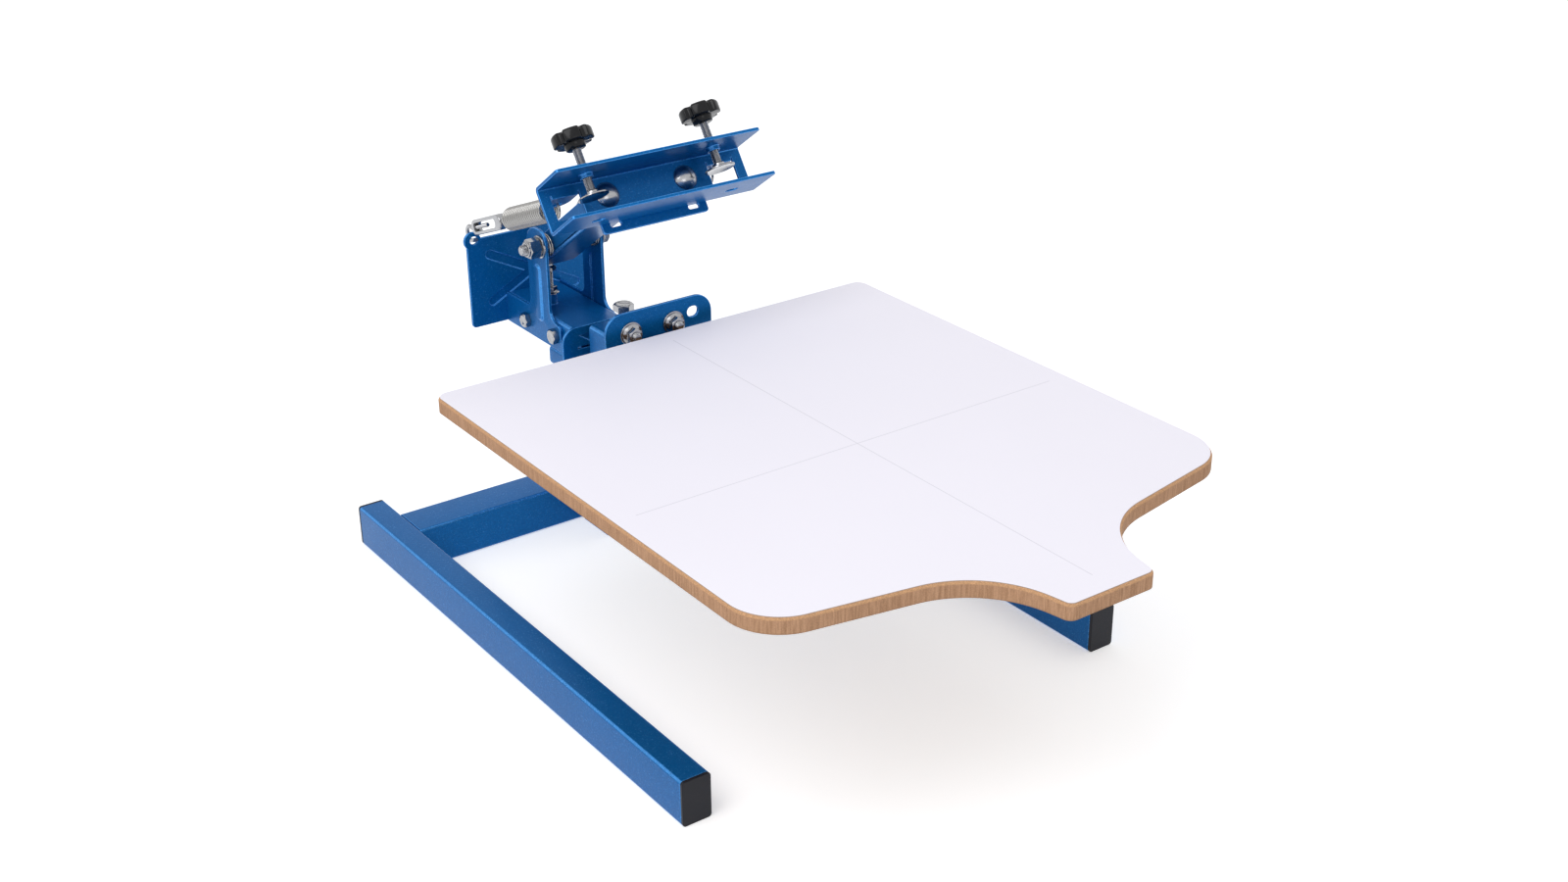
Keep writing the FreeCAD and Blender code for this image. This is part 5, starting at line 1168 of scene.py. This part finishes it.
class PRESS_OT_clamp_screws(bpy.types.Operator):
    """The clamp's threaded screws, star knobs and dished discs"""

    bl_idname = "press.clamp_screws"
    bl_label = "Clamp screws"

    def execute(self, context):
        top = -DISC_TOP
        under = top - DISC_SHEET
        rim = DISC_RADIUS - 0.3
        collar = top + DISC_COLLAR
        dish = [
            [0, under], [DISC_FLAT, under], [rim, under - 1.2], [DISC_RADIUS, under - 1.0],
            [DISC_RADIUS, under + 0.1], [rim, under + 0.4], [DISC_FLAT, top], [DISC_FLAT - 0.2, collar - 0.3],
            [DISC_FLAT - 0.5, collar], [DISC_BORE, collar], [DISC_BORE, top], [0, top],
        ]
        for name, side in (("left", -1), ("right", 1)):
            place = (side * CLAMP_SCREW_X, -CLAMP_SCREW_A, 0)
            screw = thread(M8, M8_PITCH, top + SCREW_TIP, KNOB_TOP - SCREW_IN_KNOB)
            piece(f"{name}_clamp_screw", [head_seated(screw, place)])
            piece(f"{name}_knob", [head_seated(star_knob(), place)], "black_knob", KNOB_SHARP)
            piece(f"{name}_pressure_disc", [head_seated(lathe(dish, 64), place)])
        return {"FINISHED"}


class PRESS_OT_springs(bpy.types.Operator):
    """The lifting springs, their turnbuckles with hook and eye, and the pivot's coils"""

    bl_idname = "press.springs"
    bl_label = "Springs and turnbuckles"

    def execute(self, context):
        sizes = context.scene.press_sizes
        towards = AXIS_TURNS["-Y"]
        upright = AXIS_TURNS["+X"]
        near = BUCKLE_START + BUCKLE_LONG
        for name, side in (("left", -1), ("right", 1)):
            softened(f"{name}_turnbuckle", "zinc_plate", sizes.buckle_edge)
            wire = tube(hook_path(), HOOK_WIRE, 20)
            shank = thread(HOOK_WIRE, M4_PITCH, BUCKLE_START - HOOK_THREAD_OUT, BUCKLE_START + THREAD_LONG)
            shank = moved(shank, towards, (0, 0, LINE_RISE))
            piece(f"{name}_turnbuckle_hook", [link_seated(s, side) for s in (wire, shank)])
            inside = near - BUCKLE_FAR_END - HOOK_WIRE
            shank = thread(HOOK_WIRE, M4_PITCH, inside, inside + THREAD_LONG / 2 + HOOK_WIRE)
            shank = moved(shank, towards, (0, 0, LINE_RISE))
            circle = arc_points((EYE_RADIUS, 0), EYE_WIRE, 0, 360 - 360 / EYE_STEPS, EYE_STEPS)
            ring = lathe(circle, 64, closed=True)
            ring = moved(ring, upright, (0, -near - EYE_RADIUS - HOOK_WIRE, LINE_RISE))
            piece(f"{name}_turnbuckle_eye", [link_seated(s, side) for s in (shank, ring)])
            spring = tube(spring_path(), SPRING_WIRE, 14)
            piece(f"{name}_lift_spring", [link_seated(spring, side)], "spring_wire", SPRING_SHARP)

            angle = np.linspace(0, 2 * math.pi * PIVOT_TURNS, COIL_STEPS * PIVOT_TURNS)
            start = side * COIL_MIDDLE - COIL_PITCH * PIVOT_TURNS / 2
            across = start + COIL_PITCH * angle / (2 * math.pi)
            path = np.stack([across, COIL_RADIUS * np.cos(angle), COIL_RADIUS * np.sin(angle)], -1)
            coil = seated(tube(path, COIL_WIRE), (0, PIVOT_Y, PIVOT_Z))
            piece(f"{name}_pivot_coil", [coil], "spring_wire", SPRING_SHARP)
        return {"FINISHED"}


def seen_directly(tree):
    """One where the camera, a reflection or a refraction looks, and zero where light bounces."""
    path = tree.nodes.new("ShaderNodeLightPath")
    factor = path.outputs["Is Camera Ray"]
    for name in ("Is Glossy Ray", "Is Transmission Ray"):
        largest = tree.nodes.new("ShaderNodeMath")
        largest.operation = "MAXIMUM"
        tree.links.new(factor, largest.inputs[0])
        tree.links.new(path.outputs[name], largest.inputs[1])
        factor = largest.outputs[0]
    return factor


def floor_material():
    """Pale floor that looks white, yet keeps the object's soft shadow."""
    recipe = Recipe("studio_floor")
    glow = recipe.blend(seen_directly(recipe.tree), (0.0, 0.0, 0.0), (1.0, 1.0, 1.0))
    recipe.set(Base_Color=(0.93, 0.93, 0.93, 1.0), Roughness=0.9, Specular_IOR_Level=0.0)
    recipe.set(Emission_Color=glow, Emission_Strength=0.42)
    return recipe.material


def lamp(name, place, size, power):
    """Area lamp that points from its place to the middle of the press."""
    light = bpy.data.lights.new(name, "AREA")
    light.shape = "RECTANGLE"
    light.size, light.size_y = size
    light.energy = power
    item = placed(name, light)
    item.location = place
    item.rotation_euler = (Vector(LAMP_TARGET) - Vector(place)).to_track_quat("-Z", "Y").to_euler()


class PRESS_OT_stage(bpy.types.Operator):
    """Sets the camera, the floor and the studio light"""

    bl_idname = "press.stage"
    bl_label = "Stage"

    def execute(self, context):
        scene = context.scene
        stage = scene.press_stage
        scene.view_settings.view_transform = "Standard"
        far = FLOOR_HALF
        mesh = bpy.data.meshes.new("studio_floor")
        mesh.from_pydata([(-far, -far, 0), (far, -far, 0), (far, far, 0), (-far, far, 0)], [], [(0, 1, 2, 3)])
        mesh.materials.append(floor_material())
        placed("studio_floor", mesh)

        world = scene.world or bpy.data.worlds.new("studio")
        scene.world = world
        world.use_nodes = True
        tree = world.node_tree
        background = tree.nodes["Background"]
        white = tree.nodes.new("ShaderNodeBackground")
        white.inputs["Color"].default_value = (1.0, 1.0, 1.0, 1.0)
        background.inputs["Color"].default_value = (0.95, 0.97, 1.0, 1.0)
        background.inputs["Strength"].default_value = stage.surround
        chooser = tree.nodes.new("ShaderNodeMixShader")
        tree.links.new(seen_directly(tree), chooser.inputs[0])
        tree.links.new(background.outputs[0], chooser.inputs[1])
        tree.links.new(white.outputs[0], chooser.inputs[2])
        tree.links.new(chooser.outputs[0], tree.nodes["World Output"].inputs["Surface"])

        lamp("key", place=(-1.6, -0.4, 2.2), size=(1.6, 1.6), power=stage.key)
        lamp("front", place=(-0.6, -2.4, 1.2), size=(1.2, 0.8), power=stage.fill)
        lamp("rim", place=(1.9, 0.2, 1.9), size=(0.8, 1.4), power=stage.fill)

        camera = bpy.data.cameras.new("view")
        camera.lens = stage.lens
        camera.sensor_width = VIEW_SENSOR
        item = placed("view", camera)
        turn = Matrix.Rotation(math.radians(-VIEW_HEADING), 4, "Z")
        turn = turn @ Matrix.Rotation(math.radians(90 - VIEW_DOWN), 4, "X")
        turn = turn @ Matrix.Rotation(math.radians(VIEW_ROLL), 4, "Z")
        item.matrix_world = Matrix.Translation(Vector(on_board(*VIEW_PLACE))) @ turn
        scene.camera = item
        return {"FINISHED"}


class PRESS_PT_panel(bpy.types.Panel):
    """Lists the press's pieces and settings"""

    bl_idname = "PRESS_PT_panel"
    bl_label = "Screen Press"
    bl_space_type = "VIEW_3D"
    bl_region_type = "UI"
    bl_category = "Screen Press"

    def draw(self, context):
        layout = self.layout
        for group in (getattr(context.scene, name) for name in GROUPS):
            for name in group.bl_rna.properties.keys():
                if name not in ("rna_type", "name"):
                    layout.prop(group, name)
        for operator in OPERATORS:
            layout.operator(operator.bl_idname)


GROUPS = {"press_finish": PressFinish, "press_sizes": PressSizes, "press_stage": PressStage}
OPERATORS = (
    PRESS_OT_sheet_metal,
    PRESS_OT_stand,
    PRESS_OT_board,
    PRESS_OT_gate_fasteners,
    PRESS_OT_head_fasteners,
    PRESS_OT_clamp_screws,
    PRESS_OT_springs,
    PRESS_OT_stage,
)
CLASSES = (*GROUPS.values(), *OPERATORS, PRESS_PT_panel)


def register():
    """Makes the operators, the panel and the settings known."""
    for item in CLASSES:
        bpy.utils.register_class(item)
    for name, group in GROUPS.items():
        setattr(bpy.types.Scene, name, bpy.props.PointerProperty(type=group))


def unregister():
    """Takes away what register has added."""
    for name in GROUPS:
        delattr(bpy.types.Scene, name)
    for item in reversed(CLASSES):
        bpy.utils.unregister_class(item)


def main():
    """Makes the settings known and builds every piece in order."""
    register()
    for operator in OPERATORS:
        _, name = operator.bl_idname.split(".")
        getattr(bpy.ops.press, name)()


if __name__ == "__main__":
    main()
